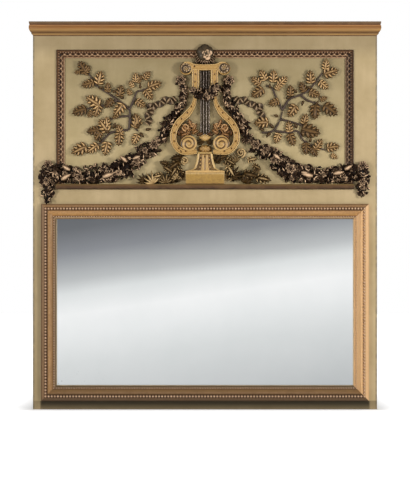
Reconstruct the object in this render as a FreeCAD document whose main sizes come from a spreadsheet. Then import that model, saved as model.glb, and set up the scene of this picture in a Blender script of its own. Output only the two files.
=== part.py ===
import FreeCAD, Part
import math
import os
import re

import Sketcher
from FreeCAD import Placement, Vector

# A trumeau mirror. +Z is up, +X is to the right of someone who looks at the mirror, and the front
# faces -Y. The origin is the centre of the face that the carcass stands on. All sizes are in mm.

DIMENSIONS = [
    # carcass: two full-height stiles with three rails tenoned between them
    ("body_width", 1510),
    ("total_height", 1700),
    ("carcass_depth", 40),
    ("stile_width", 103),
    ("top_rail_height", 123),
    ("middle_rail_height", 130),
    ("bottom_rail_height", 104),
    ("mirror_opening_height", 731),
    ("tenon_length", 60),
    ("tenon_thickness", 13),
    ("tenon_shoulder", 15),
    ("rebate_shoulder", 31),
    ("joint_clearance", 0.2),
    ("peg_radius", 4),
    ("peg_inset", 22),
    ("peg_spacing", 34),
    ("peg_depth", 32),
    ("peg_clearance", 0.1),
    # upper panel, held in a groove all round
    ("panel_thickness", 12),
    ("panel_setback", 8),
    ("panel_groove", 12),
    ("panel_clearance", 0.5),
    # mirror glass in its rebate, with boards nailed over its back
    ("glass_thickness", 4),
    ("glass_setback", 12),
    ("glass_rebate", 14),
    ("glass_clearance", 2),
    ("board_thickness", 12),
    ("board_rebate", 12),
    ("board_clearance", 0.5),
    ("board_count", 3),
    ("block_size", 10),
    ("block_length", 40),
    ("nail_radius", 1.25),
    ("nail_length", 24),
    ("nail_head_radius", 3),
    ("nail_head_thickness", 1.2),
    ("nail_clearance", 0.15),
    # cornice round the front and the two ends
    ("cornice_height", 62),
    ("cornice_projection", 16),
    ("cornice_top_fillet", 9),
    ("cornice_groove", 7),
    ("cornice_groove_depth", 2),
    ("cornice_ovolo_drop", 32),
    ("cornice_foot_projection", 7),
    ("cornice_foot_fillet", 4),
    # leaf moulding round the upper panel and the ledge under it
    ("leaf_moulding_width", 36),
    ("leaf_moulding_thickness", 14),
    ("leaf_moulding_fillet", 5),
    ("leaf_moulding_lip", 5),
    ("ledge_height", 23),
    ("ledge_projection", 34),
    # moulded frame of the mirror
    ("frame_margin", 37),
    ("frame_fillet", 3),
    ("frame_edge", 12),
    ("frame_bead_bed", 12),
    ("frame_bead_height", 19),
    ("frame_bead_width", 15),
    ("frame_ridge", 5),
    ("frame_ridge_height", 27),
    ("frame_cove_width", 18),
    ("frame_strip_height", 11),
    ("frame_lip", 7),
    ("frame_lip_height", 7),
    # keyhole plates let in to the backs of the stiles, each with two countersunk screws
    ("hanger_drop", 250),
    ("hanger_length", 90),
    ("hanger_width", 32),
    ("hanger_thickness", 3),
    ("keyhole_radius", 6.5),
    ("keyhole_slot", 6.5),
    ("keyhole_travel", 16),
    ("keyhole_pocket", 12),
    ("screw_spacing", 68),
    ("screw_radius", 2),
    ("screw_head_radius", 4),
    ("screw_length", 22),
    ("screw_clearance", 0.1),
    # lyre on its pedestal
    ("plinth_width", 170),
    ("plinth_height", 50),
    ("plinth_depth", 34),
    ("plinth_rounding", 3),
    ("pedestal_height", 82),
    ("pedestal_foot", 90),
    ("pedestal_neck", 66),
    ("pedestal_depth", 28),
    ("lyre_depth", 28),
    ("lyre_band_width", 62),
    ("lyre_band_height", 8),
    ("lyre_head_room", 91),
    ("lyre_yoke_height", 40),
    ("lyre_belly", 136),
    ("volute_radius", 36),
    ("volute_offset", 71),
    ("volute_eye_radius", 9),
    ("volute_fillet", 7),
    ("volute_relief", 4),
    ("scroll_radius", 28),
    ("scroll_offset", 83),
    ("string_count", 7),
    ("string_pitch", 6),
    ("string_radius", 1.5),
    ("tailpiece_radius", 24),
    # carving in relief
    ("leaf_relief", 10),
    ("stem_relief", 7),
    ("stem_width", 7),
    ("ribbon_relief", 12),
    ("ribbon_width", 18),
    ("crest_rose_radius", 38),
]

doc = FreeCAD.newDocument("trumeau_mirror")
dims = doc.addObject("Spreadsheet::Sheet", "Dims")
for row, (alias, number) in enumerate(DIMENSIONS, start=1):
    dims.set("A%d" % row, alias)
    dims.set("B%d" % row, str(number))
    dims.setAlias("B%d" % row, alias)
doc.recompute()

# Places that several pieces share, as expressions in the sheet's sizes.
HALF_BODY = "(body_width / 2)"
FRONT = "(-carcass_depth / 2)"
BACK = "(carcass_depth / 2)"
HALF_OPENING = "(body_width / 2 - stile_width)"
MIRROR_FOOT = "bottom_rail_height"
MIRROR_HEAD = "(bottom_rail_height + mirror_opening_height)"
LEDGE_FOOT = "(bottom_rail_height + mirror_opening_height + middle_rail_height)"
LEDGE_TOP = "(bottom_rail_height + mirror_opening_height + middle_rail_height + ledge_height)"
PANEL_HEAD = "(total_height - top_rail_height)"
PANEL_FACE = "(-carcass_depth / 2 + panel_setback)"
GLASS_FACE = "(-carcass_depth / 2 + glass_setback)"
GLASS_BACK = "(-carcass_depth / 2 + glass_setback + glass_thickness)"
BOARD_FACE = "(carcass_depth / 2 - board_thickness)"
BOARD_EDGE = "(glass_rebate + board_rebate)"
LEAF_INNER = "(body_width / 2 - stile_width - leaf_moulding_width)"
HANGER_HEIGHT = "(total_height - hanger_drop)"
ARM_RISE = "(" + PANEL_HEAD + " - " + LEDGE_TOP + " - plinth_height - pedestal_height - lyre_head_room)"
STILE_MIDDLE = "(body_width / 2 - stile_width / 2)"


def bound(expression):
    """The expression with every size named in the sheet that holds it."""
    return re.sub(r"\b(?!sqrt\b)[a-z_]\w*", lambda match: "Dims." + match.group(), expression)


def size(expression):
    """The number that an expression in the sheet's sizes comes to."""
    return float(dims.evalExpression(bound(expression)))


def minus(expression):
    return "(-1 * " + expression + ")"


# ---------------------------------------------------------------- bodies, sketches and features

node_objects = []


def new_body(label):
    body = doc.addObject("PartDesign::Body", label)
    body.Label = label
    node_objects.append(body)
    return body


def place_sketch(body, plane, offset):
    """An empty sketch on one of the body's origin planes, moved along the plane's normal."""
    sketch = body.newObject("Sketcher::SketchObject", body.Name + "_sketch")
    planes = [feature for feature in body.Origin.OriginFeatures if feature.Role == plane]
    sketch.AttachmentSupport = [(planes[0], "")]
    sketch.MapMode = "FlatFace"
    sketch.setExpression("AttachmentOffset.Base.z", bound(offset))
    return sketch


def hold(sketch, kind, geometry, position, expression):
    """Hold a point's distance from the sketch's origin at the value of an expression."""
    index = sketch.addConstraint(
        Sketcher.Constraint(kind, -1, 1, geometry, position, size(expression)))
    sketch.setExpression("Constraints[%d]" % index, bound(expression))


def arc_middle(start, end, radius, side):
    """The middle of the arc from start to end that bulges to the left (1) or right (-1)."""
    chord = end - start
    sagitta = radius - math.sqrt(max(radius ** 2 - (chord.Length / 2) ** 2, 0))
    left = Vector(-chord.y, chord.x, 0).normalize()
    return (start + end) * 0.5 + left * sagitta * side


def arc_radius(start, end, roundness):
    """The radius of an arc between two vertices, as the chord's length times its roundness."""
    across = "(" + end[0] + " - " + start[0] + ")"
    along = "(" + end[1] + " - " + start[1] + ")"
    return "(%g * sqrt(" % roundness + across + "^2 + " + along + "^2))"


def draw(body, plane, vertices, offset="0"):
    """A closed outline. A vertex is (x, y), or (x, y, roundness, side) where an arc leaves it."""
    sketch = place_sketch(body, plane, offset)
    points = [Vector(size(vertex[0]), size(vertex[1]), 0) for vertex in vertices]
    starts = []
    ends = []
    for index, vertex in enumerate(vertices):
        start = points[index]
        end = points[(index + 1) % len(points)]
        if len(vertex) == 2:
            sketch.addGeometry(Part.LineSegment(start, end))
            forward = True
        else:
            radius = size(arc_radius(vertex, vertices[(index + 1) % len(points)], vertex[2]))
            middle = arc_middle(start, end, radius, vertex[3])
            sketch.addGeometry(Part.Arc(start, middle, end))
            forward = vertex[3] < 0
        starts.append(1 if forward else 2)
        ends.append(2 if forward else 1)
    for index, vertex in enumerate(vertices):
        following = (index + 1) % len(vertices)
        sketch.addConstraint(Sketcher.Constraint(
            "Coincident", index, ends[index], following, starts[following]))
        hold(sketch, "DistanceX", index, starts[index], vertex[0])
        hold(sketch, "DistanceY", index, starts[index], vertex[1])
        if len(vertex) == 4:
            radius = arc_radius(vertex, vertices[following], vertex[2])
            held = sketch.addConstraint(Sketcher.Constraint("Radius", index, size(radius)))
            sketch.setExpression("Constraints[%d]" % held, bound(radius))
    return sketch


def draw_circles(body, plane, centres, radius, offset="0"):
    sketch = place_sketch(body, plane, offset)
    for index, (x, y) in enumerate(centres):
        sketch.addGeometry(Part.Circle(Vector(size(x), size(y), 0), Vector(0, 0, 1), size(radius)))
        hold(sketch, "DistanceX", index, 3, x)
        hold(sketch, "DistanceY", index, 3, y)
        held = sketch.addConstraint(Sketcher.Constraint("Radius", index, size(radius)))
        sketch.setExpression("Constraints[%d]" % held, bound(radius))
    return sketch


def rectangle(x_span, y_span):
    return [(x_span[0], y_span[0]), (x_span[1], y_span[0]),
            (x_span[1], y_span[1]), (x_span[0], y_span[1])]


def pad(body, sketch, length, midplane=False):
    feature = body.newObject("PartDesign::Pad", body.Name + "_pad")
    feature.Profile = sketch
    feature.Midplane = midplane
    feature.setExpression("Length", bound(length))
    doc.recompute()
    return feature


def pocket(body, sketch, length):
    """Cut the sketch into the body, against the sketch's normal, and see that it cuts."""
    before = body.Shape.Volume
    feature = body.newObject("PartDesign::Pocket", body.Name + "_pocket")
    feature.Profile = sketch
    feature.setExpression("Length", bound(length))
    doc.recompute()
    if body.Shape.Volume >= before:
        raise ValueError(feature.Name + " cuts nothing")
    return feature


def add_block(body, x_span, y_span, z_span):
    """Pad a rectangle of the front view from the back plane of y_span to its front plane."""
    sketch = draw(body, "XZ_Plane", rectangle(x_span, z_span), minus(y_span[1]))
    pad(body, sketch, "(" + y_span[1] + " - " + y_span[0] + ")")


def cut_block(body, x_span, y_span, z_span):
    """Cut a rectangle of the front view from the front plane of y_span to its back plane."""
    sketch = draw(body, "XZ_Plane", rectangle(x_span, z_span), minus(y_span[0]))
    pocket(body, sketch, "(" + y_span[1] + " - " + y_span[0] + ")")


def drill(body, centres, radius, y_span):
    """Drill round holes along Y over y_span."""
    sketch = draw_circles(body, "XZ_Plane", centres, radius, minus(y_span[0]))
    pocket(body, sketch, "(" + y_span[1] + " - " + y_span[0] + ")")


def cut_mitre(body, corners, y_span):
    sketch = draw(body, "XZ_Plane", corners, minus(y_span[0]))
    pocket(body, sketch, "(" + y_span[1] + " - " + y_span[0] + ")")


def solid_node(label, shape):
    """A piece whose carved form is made by Part's functions from the sheet's sizes."""
    feature = doc.addObject("Part::Feature", label)
    feature.Label = label
    feature.Shape = shape
    feature.Placement = Placement()
    node_objects.append(feature)
    return feature


def add(*terms):
    return "(" + " + ".join(terms) + ")"


def less(first, *others):
    return "(" + first + " - " + " - ".join(others) + ")"


# ---------------------------------------------------------------- carcass

TENON_SPAN = (minus("(tenon_thickness / 2)"), "(tenon_thickness / 2)")
MORTISE_SPAN = (minus("(tenon_thickness / 2 + joint_clearance)"),
                "(tenon_thickness / 2 + joint_clearance)")
TENONS = {
    "top_rail": (add(PANEL_HEAD, "tenon_shoulder"), less("total_height", "tenon_shoulder")),
    "middle_rail": (add(MIRROR_HEAD, "rebate_shoulder"), less(LEDGE_FOOT, "tenon_shoulder")),
    "bottom_rail": ("tenon_shoulder", less(MIRROR_FOOT, "rebate_shoulder")),
}
RAIL_SPANS = {
    "top_rail": (PANEL_HEAD, "total_height"),
    "middle_rail": (MIRROR_HEAD, LEDGE_FOOT),
    "bottom_rail": ("0", MIRROR_FOOT),
}
PANEL_SPAN = (PANEL_FACE, add(PANEL_FACE, "panel_thickness"))
GROOVE_SPAN = (PANEL_FACE, add(PANEL_FACE, "panel_thickness", "joint_clearance"))
GLASS_STEP = (GLASS_FACE, BACK)
BOARD_STEP = (BOARD_FACE, BACK)


def peg_centres(side, rail):
    """Two pegs through each tenon, one above the other, in from the shoulder."""
    low, high = TENONS[rail]
    middle = "(" + low + " / 2 + " + high + " / 2)"
    x = side + " * " + add(HALF_OPENING, "peg_inset")
    return [("(" + x + ")", "(" + middle + " - peg_spacing / 2)"),
            ("(" + x + ")", "(" + middle + " + peg_spacing / 2)")]


BOARD_FOOT = less(MIRROR_FOOT, BOARD_EDGE)
BOARD_PITCH = "((mirror_opening_height + 2 * " + BOARD_EDGE + ") / board_count)"
NAIL_X = add(HALF_OPENING, "glass_rebate", "board_rebate / 2")
END_SHARES = (0.25, 0.75)
EDGE_SHARES = (-0.6, 0, 0.6)


def end_nails(side):
    """Two nails in each end of each backboard, into the stile."""
    centres = []
    for board in range(int(size("board_count"))):
        for share in END_SHARES:
            height = add(BOARD_FOOT, "(%g * " % (board + share) + BOARD_PITCH + ")")
            centres.append(("(" + side + " * " + NAIL_X + ")", height))
    return centres


def edge_nails(rail):
    """Three nails along a rail, at the outer edge of the first or last backboard."""
    if rail == "middle_rail":
        height = add(MIRROR_HEAD, "glass_rebate", "board_rebate / 2")
    else:
        height = less(MIRROR_FOOT, "glass_rebate", "board_rebate / 2")
    return [("(%g * " % share + HALF_OPENING + ")", height) for share in EDGE_SHARES]


NAIL_HOLE = add("nail_radius", "nail_clearance")
NAIL_TIP = less(BACK, "nail_length")
PEG_HOLE = add("peg_radius", "peg_clearance")
PEG_SPAN = (less(BACK, "peg_depth"), BACK)


def make_stile(label, side):
    """A full-height stile. side is -1 on the left and 1 on the right."""
    body = new_body(label)
    sign = str(side)

    def across(inner, outer):
        spans = ["(" + sign + " * " + inner + ")", "(" + sign + " * " + outer + ")"]
        return (spans[0], spans[1]) if side > 0 else (spans[1], spans[0])

    add_block(body, across(HALF_OPENING, HALF_BODY), (FRONT, BACK), ("0", "total_height"))
    mortise_end = add(HALF_OPENING, "tenon_length", "joint_clearance")
    for rail, (low, high) in TENONS.items():
        cut_block(body, across(HALF_OPENING, mortise_end), MORTISE_SPAN,
                  (less(low, "joint_clearance"), add(high, "joint_clearance")))
    cut_block(body, across(HALF_OPENING, add(HALF_OPENING, "panel_groove")), GROOVE_SPAN,
              (less(LEDGE_FOOT, "panel_groove"), add(PANEL_HEAD, "panel_groove")))
    cut_block(body, across(HALF_OPENING, add(HALF_OPENING, "glass_rebate")), GLASS_STEP,
              (less(MIRROR_FOOT, "glass_rebate"), add(MIRROR_HEAD, "glass_rebate")))
    cut_block(body, across(HALF_OPENING, add(HALF_OPENING, BOARD_EDGE)), BOARD_STEP,
              (less(MIRROR_FOOT, BOARD_EDGE), add(MIRROR_HEAD, BOARD_EDGE)))
    pegs = []
    for rail in TENONS:
        pegs += peg_centres(sign, rail)
    drill(body, pegs, PEG_HOLE, PEG_SPAN)
    drill(body, end_nails(sign), NAIL_HOLE, (NAIL_TIP, BOARD_FACE))
    middle = "(" + sign + " * " + STILE_MIDDLE + ")"
    half_plate = "(hanger_width / 2 + joint_clearance)"
    half_length = "(hanger_length / 2 + joint_clearance)"
    cut_block(body, (less(middle, half_plate), add(middle, half_plate)),
              (less(BACK, "hanger_thickness"), BACK),
              (less(HANGER_HEIGHT, half_length), add(HANGER_HEIGHT, half_length)))
    cut_block(body, (less(middle, "keyhole_radius"), add(middle, "keyhole_radius")),
              (less(BACK, "hanger_thickness", "keyhole_pocket"), less(BACK, "hanger_thickness")),
              (less(HANGER_HEIGHT, "keyhole_radius"),
               add(HANGER_HEIGHT, "keyhole_travel", "keyhole_radius")))
    drill(body, screw_centres(middle), "(screw_radius + screw_clearance)",
          (less(BACK, "screw_length", "screw_clearance"), less(BACK, "hanger_thickness")))
    return body


def screw_centres(middle):
    return [(middle, less(HANGER_HEIGHT, "screw_spacing / 2")),
            (middle, add(HANGER_HEIGHT, "screw_spacing / 2"))]


def make_rail(label):
    """A rail between the stiles, with a tenon at each end."""
    body = new_body(label)
    low, high = RAIL_SPANS[label]
    between = (minus(HALF_OPENING), HALF_OPENING)
    tenon_reach = add(HALF_OPENING, "tenon_length")
    add_block(body, between, (FRONT, BACK), (low, high))
    add_block(body, (minus(tenon_reach), tenon_reach), TENON_SPAN, TENONS[label])
    if label == "top_rail":
        cut_block(body, between, GROOVE_SPAN, (low, add(low, "panel_groove")))
    if label == "middle_rail":
        cut_block(body, between, GROOVE_SPAN, (less(high, "panel_groove"), high))
        cut_block(body, between, GLASS_STEP, (low, add(low, "glass_rebate")))
        cut_block(body, between, BOARD_STEP, (low, add(low, BOARD_EDGE)))
    if label == "bottom_rail":
        cut_block(body, between, GLASS_STEP, (less(high, "glass_rebate"), high))
        cut_block(body, between, BOARD_STEP, (less(high, BOARD_EDGE), high))
    drill(body, peg_centres("-1", label) + peg_centres("1", label), PEG_HOLE, TENON_SPAN)
    if label != "top_rail":
        drill(body, edge_nails(label), NAIL_HOLE, (NAIL_TIP, BOARD_FACE))
    return body


def make_pegs():
    """Twelve oak pegs, driven from the back and stopped short of the painted face."""
    pegs = []
    for side in ("-1", "1"):
        for rail in TENONS:
            for x, z in peg_centres(side, rail):
                foot = Vector(size(x), size(PEG_SPAN[0]), size(z))
                pegs.append(Part.makeCylinder(
                    size("peg_radius"), size("peg_depth"), foot, Vector(0, 1, 0)))
    solid_node("joint_pegs", Part.makeCompound(pegs))


make_stile("left_stile", -1)
make_stile("right_stile", 1)
for rail_label in TENONS:
    make_rail(rail_label)
make_pegs()


# ---------------------------------------------------------------- panel and mirror

def make_panel():
    body = new_body("upper_panel")
    edge = less(add(HALF_OPENING, "panel_groove"), "panel_clearance")
    add_block(body, (minus(edge), edge), PANEL_SPAN,
              (add(less(LEDGE_FOOT, "panel_groove"), "panel_clearance"),
               less(add(PANEL_HEAD, "panel_groove"), "panel_clearance")))


def make_glass():
    body = new_body("mirror_glass")
    edge = less(add(HALF_OPENING, "glass_rebate"), "glass_clearance")
    add_block(body, (minus(edge), edge), (GLASS_FACE, GLASS_BACK),
              (add(less(MIRROR_FOOT, "glass_rebate"), "glass_clearance"),
               less(add(MIRROR_HEAD, "glass_rebate"), "glass_clearance")))


def make_blocks():
    """Small blocks glued in the rebate behind the edge of the glass."""
    wall_x = size(add(HALF_OPENING, "glass_rebate"))
    wall_low = size(less(MIRROR_FOOT, "glass_rebate"))
    wall_high = size(add(MIRROR_HEAD, "glass_rebate"))
    deep = size(BOARD_FACE) - size(GLASS_BACK)
    block = size("block_size")
    length = size("block_length")
    rear = size(GLASS_BACK)
    blocks = []
    for share in (0.2, 0.5, 0.8):
        z = wall_low + share * (wall_high - wall_low) - length / 2
        blocks.append(Part.makeBox(block, deep, length, Vector(-wall_x, rear, z)))
        blocks.append(Part.makeBox(block, deep, length, Vector(wall_x - block, rear, z)))
    for share in EDGE_SHARES:
        x = share * size(HALF_OPENING) - length / 2
        blocks.append(Part.makeBox(length, deep, block, Vector(x, rear, wall_low)))
        blocks.append(Part.makeBox(length, deep, block, Vector(x, rear, wall_high - block)))
    solid_node("glazing_blocks", Part.makeCompound(blocks))


def make_backboards():
    """Horizontal boards let in flush with the back, drilled and sunk for their nails."""
    edge = less(add(HALF_OPENING, BOARD_EDGE), "board_clearance")
    count = int(size("board_count"))
    for board in range(count):
        body = new_body("backboard_%d" % (board + 1))
        low = add(BOARD_FOOT, "(%d * " % board + BOARD_PITCH + ")")
        high = add(BOARD_FOOT, "(%d * " % (board + 1) + BOARD_PITCH + ")")
        if board == 0:
            low = add(low, "board_clearance")
        if board == count - 1:
            high = less(high, "board_clearance")
        add_block(body, (minus(edge), edge), BOARD_STEP, (low, high))
        first = board * len(END_SHARES)
        last = first + len(END_SHARES)
        nails = end_nails("-1")[first:last] + end_nails("1")[first:last]
        if board == 0:
            nails += edge_nails("bottom_rail")
        if board == count - 1:
            nails += edge_nails("middle_rail")
        drill(body, nails, NAIL_HOLE, BOARD_STEP)
        drill(body, nails, add("nail_head_radius", "nail_clearance"),
              (less(BACK, "nail_head_thickness"), BACK))


def make_nails():
    nails = []
    centres = end_nails("-1") + end_nails("1")
    centres += edge_nails("bottom_rail") + edge_nails("middle_rail")
    for x, z in centres:
        tip = Vector(size(x), size(NAIL_TIP), size(z))
        under_head = Vector(size(x), size(less(BACK, "nail_head_thickness")), size(z))
        shank = Part.makeCylinder(size("nail_radius"), size("nail_length"), tip, Vector(0, 1, 0))
        head = Part.makeCylinder(size("nail_head_radius"), size("nail_head_thickness"),
                                 under_head, Vector(0, 1, 0))
        nails.append(shank.fuse(head).removeSplitter())
    solid_node("backboard_nails", Part.makeCompound(nails))


make_panel()
make_glass()
make_blocks()
make_backboards()
make_nails()


# ---------------------------------------------------------------- mouldings

def cornice_profile(face, outward):
    """The cornice's section: (distance in front of the face, height) as sketch vertices."""
    def point(projection, height, *arc):
        horizontal = "(" + face + " + " + outward + " * " + projection + ")"
        return (horizontal, height) + arc

    turn = -1 if outward == "-1" else 1
    fillet_foot = less("total_height", "cornice_top_fillet")
    groove_foot = less(fillet_foot, "cornice_groove")
    ovolo_foot = less(groove_foot, "cornice_ovolo_drop")
    cyma_head = less(ovolo_foot, "cornice_foot_fillet")
    foot = less("total_height", "cornice_height")
    sunk = "(cornice_projection - cornice_groove_depth)"
    brow = "(cornice_projection - cornice_groove_depth / 2)"
    return [
        point("0", "total_height"),
        point("cornice_projection", "total_height"),
        point("cornice_projection", fillet_foot),
        point(sunk, fillet_foot),
        point(sunk, groove_foot),
        point(brow, groove_foot, 0.9, turn),
        point("cornice_foot_projection", ovolo_foot),
        point("cornice_foot_projection", cyma_head),
        point("(cornice_foot_projection / 2)", cyma_head, 1.9, -turn),
        point("0", foot),
    ]


CORNICE_REACH = "(cornice_projection + 1)"


def make_cornice():
    """A front length and two returns, mitred at the front corners."""
    corner_y = less(FRONT, CORNICE_REACH)
    front = new_body("cornice_front")
    sketch = draw(front, "YZ_Plane", cornice_profile(FRONT, "-1"))
    pad(front, sketch, "(body_width + 2 * cornice_projection)", midplane=True)
    for sign in ("-1", "1"):
        edge = "(" + sign + " * " + HALF_BODY + ")"
        beyond = "(" + sign + " * " + add(HALF_BODY, CORNICE_REACH) + ")"
        corners = [(edge, FRONT), (beyond, FRONT), (beyond, corner_y)]
        sketch = draw(front, "XY_Plane", corners, "total_height")
        pocket(front, sketch, "cornice_height")
    for label, sign in (("cornice_return_left", "-1"), ("cornice_return_right", "1")):
        body = new_body(label)
        edge = "(" + sign + " * " + HALF_BODY + ")"
        beyond = "(" + sign + " * " + add(HALF_BODY, CORNICE_REACH) + ")"
        sketch = draw(body, "XZ_Plane", cornice_profile(edge, sign), minus(BACK))
        pad(body, sketch, "(carcass_depth + cornice_projection)")
        corners = [(edge, FRONT), (edge, corner_y), (beyond, corner_y)]
        sketch = draw(body, "XY_Plane", corners, "total_height")
        pocket(body, sketch, "cornice_height")


def leaf_profile(outer, inward, vertical):
    """The leaf moulding's section on the panel's face, from its outer edge inwards."""
    def point(across, height, *arc):
        horizontal = "(" + outer + " + " + inward + " * " + across + ")"
        depth = less(PANEL_FACE, height)
        return ((horizontal, depth) if vertical else (depth, horizontal)) + arc

    turn = -1 if (inward == "1") == vertical else 1
    return [
        point("0", "0"),
        point("0", "leaf_moulding_thickness"),
        point("leaf_moulding_fillet", "leaf_moulding_thickness", 0.95, turn),
        point("(leaf_moulding_width - leaf_moulding_lip)", "leaf_moulding_lip"),
        point("leaf_moulding_width", "leaf_moulding_lip"),
        point("leaf_moulding_width", "0"),
    ]


LEAF_SPAN = (less(PANEL_FACE, "leaf_moulding_thickness", "1"), add(PANEL_FACE, "1"))


def make_leaf_mouldings():
    """Three lengths round the panel, mitred at the top and square on the ledge."""
    inner_head = less(PANEL_HEAD, "leaf_moulding_width")
    top = new_body("leaf_moulding_top")
    sketch = draw(top, "YZ_Plane", leaf_profile(PANEL_HEAD, "-1", False))
    pad(top, sketch, "(2 * " + HALF_OPENING + ")", midplane=True)
    for sign in ("-1", "1"):
        outer = "(" + sign + " * " + HALF_OPENING + ")"
        inner = "(" + sign + " * " + LEAF_INNER + ")"
        cut_mitre(top, [(outer, PANEL_HEAD), (outer, inner_head), (inner, inner_head)], LEAF_SPAN)
    for label, sign, inward in (("leaf_moulding_left", "-1", "1"),
                                ("leaf_moulding_right", "1", "-1")):
        body = new_body(label)
        outer = "(" + sign + " * " + HALF_OPENING + ")"
        inner = "(" + sign + " * " + LEAF_INNER + ")"
        sketch = draw(body, "XY_Plane", leaf_profile(outer, inward, True), LEDGE_TOP)
        pad(body, sketch, less(PANEL_HEAD, LEDGE_TOP))
        cut_mitre(body, [(outer, PANEL_HEAD), (inner, PANEL_HEAD), (inner, inner_head)], LEAF_SPAN)


def make_ledge():
    """The half-round shelf that closes the panel's foot and carries the carving."""
    body = new_body("ledge")
    nose = add(less(PANEL_FACE, "ledge_projection"), "ledge_height / 2")
    profile = [
        (PANEL_FACE, LEDGE_FOOT),
        (PANEL_FACE, LEDGE_TOP),
        (nose, LEDGE_TOP, 0.5005, -1),
        (nose, LEDGE_FOOT),
    ]
    sketch = draw(body, "YZ_Plane", profile)
    pad(body, sketch, "(2 * " + HALF_OPENING + ")", midplane=True)


FRAME_OUTER = "(body_width / 2 - frame_margin)"
FRAME_WIDTH = "(stile_width - frame_margin)"
FRAME_TOP = add(MIRROR_HEAD, FRAME_WIDTH)
FRAME_FOOT = less(MIRROR_FOOT, FRAME_WIDTH)
FRAME_CUT = (less(FRONT, "frame_ridge_height", "1"), FRONT)


def frame_profile(outer, inward, vertical):
    """The mirror frame's section: bead bed outside, a cove, a low strip and the sight lip."""
    def point(across, height, *arc):
        horizontal = "(" + outer + " + " + inward + " * " + across + ")"
        depth = less(FRONT, height)
        return ((horizontal, depth) if vertical else (depth, horizontal)) + arc

    turn = 1 if (inward == "1") == vertical else -1
    bed = add("frame_fillet", "frame_bead_bed")
    ridge = add(bed, "frame_bead_width")
    cove = add(ridge, "frame_ridge")
    strip = add(cove, "frame_cove_width")
    lip = less(FRAME_WIDTH, "frame_lip")
    return [
        point("0", "0"),
        point("0", "frame_edge"),
        point("frame_fillet", "frame_edge"),
        point(bed, "frame_bead_height"),
        point(ridge, "frame_bead_height"),
        point(ridge, "frame_ridge_height"),
        point(cove, "frame_ridge_height", 1.0, turn),
        point(strip, "frame_strip_height"),
        point(lip, "frame_strip_height"),
        point(lip, "frame_lip_height"),
        point(FRAME_WIDTH, "frame_lip_height"),
        point(FRAME_WIDTH, "0"),
    ]


def make_mirror_frame():
    """Four lengths of one moulding, mitred at the corners and planted on the carcass."""
    for label, edge, inner, inward in (
            ("mirror_frame_top", FRAME_TOP, MIRROR_HEAD, "-1"),
            ("mirror_frame_bottom", FRAME_FOOT, MIRROR_FOOT, "1")):
        body = new_body(label)
        sketch = draw(body, "YZ_Plane", frame_profile(edge, inward, False))
        pad(body, sketch, "(2 * " + FRAME_OUTER + ")", midplane=True)
        for sign in ("-1", "1"):
            outer = "(" + sign + " * " + FRAME_OUTER + ")"
            sight = "(" + sign + " * " + HALF_OPENING + ")"
            cut_mitre(body, [(outer, edge), (outer, inner), (sight, inner)], FRAME_CUT)
    for label, sign, inward in (("mirror_frame_left", "-1", "1"),
                                ("mirror_frame_right", "1", "-1")):
        body = new_body(label)
        outer = "(" + sign + " * " + FRAME_OUTER + ")"
        sight = "(" + sign + " * " + HALF_OPENING + ")"
        sketch = draw(body, "XY_Plane", frame_profile(outer, inward, True), FRAME_FOOT)
        pad(body, sketch, less(FRAME_TOP, FRAME_FOOT))
        cut_mitre(body, [(outer, FRAME_TOP), (sight, FRAME_TOP), (sight, MIRROR_HEAD)], FRAME_CUT)
        cut_mitre(body, [(outer, FRAME_FOOT), (sight, FRAME_FOOT), (sight, MIRROR_FOOT)],
                  FRAME_CUT)


make_cornice()
make_leaf_mouldings()
make_ledge()
make_mirror_frame()


# ---------------------------------------------------------------- carving in relief

# Places on the panel are (x, rise): x from the middle, negative on the left, and the height above
# the ledge's top. A relief is built in front of a back plane and cut to what it is scribed against.
# The garlands and branches are drawn for a panel of the layout's sizes and spread with the panel.
LAYOUT_HALF_WIDTH = 652
LAYOUT_RISE = 589
LAYOUT_ARM_RISE = 366

face = size(PANEL_FACE)
front = size(FRONT)
ledge_top = size(LEDGE_TOP)
half_opening = size(HALF_OPENING)
lyre_face = face - size("lyre_depth")
reach = size("total_height")
head_rise = size(PANEL_HEAD) - ledge_top
spread = half_opening / LAYOUT_HALF_WIDTH
climb = head_rise / LAYOUT_RISE


def spot(place, y):
    return Vector(place[0], y, ledge_top + place[1])


def prism(edges, y, height):
    """A closed outline in the plane at y, carried forward by height."""
    outline = Part.Face(Part.Wire(edges))
    solid = outline.extrude(Vector(0, -height, 0))
    return solid


def fused(shapes):
    shape = shapes[0].multiFuse(shapes[1:]) if len(shapes) > 1 else shapes[0]
    return shape


def scribed(shape, nodes):
    """A shape cut back to the pieces that it lies against."""
    return shape.cut([node.Shape for node in nodes])


FORWARD = Vector(0, -1, 0)


def dome(place, radius, y):
    """Half a ball that stands forward from the plane at y."""
    return Part.makeSphere(radius, spot(place, y), FORWARD, 0, 90, 360)


def rose(place, radius, back, y):
    """A bloom: five round petals about a bud, on a round stalk from the plane at back to y."""
    petal = 0.5 * radius
    shapes = [dome(place, 0.66 * radius, y)]
    for index in range(5):
        angle = math.radians(90 + 72 * index)
        around = (place[0] + petal * math.cos(angle), place[1] + petal * math.sin(angle))
        shapes.append(dome(around, petal, y))
    if back > y:
        shapes.append(Part.makeCylinder(0.8 * radius, back - y, spot(place, back), FORWARD))
    return shapes


def band_outline(points, widths, y):
    """The edges of a flat band that follows points, with a width at each of them."""
    left = []
    right = []
    for index, place in enumerate(points):
        before = points[max(index - 1, 0)]
        after = points[min(index + 1, len(points) - 1)]
        along = Vector(after[0] - before[0], 0, after[1] - before[1]).normalize()
        across = Vector(-along.z, 0, along.x) * (widths[index] / 2)
        left.append(spot(place, y) + across)
        right.append(spot(place, y) - across)
    corners = left + right[::-1] + [left[0]]
    return [Part.LineSegment(a, b).toShape() for a, b in zip(corners, corners[1:])]


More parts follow.
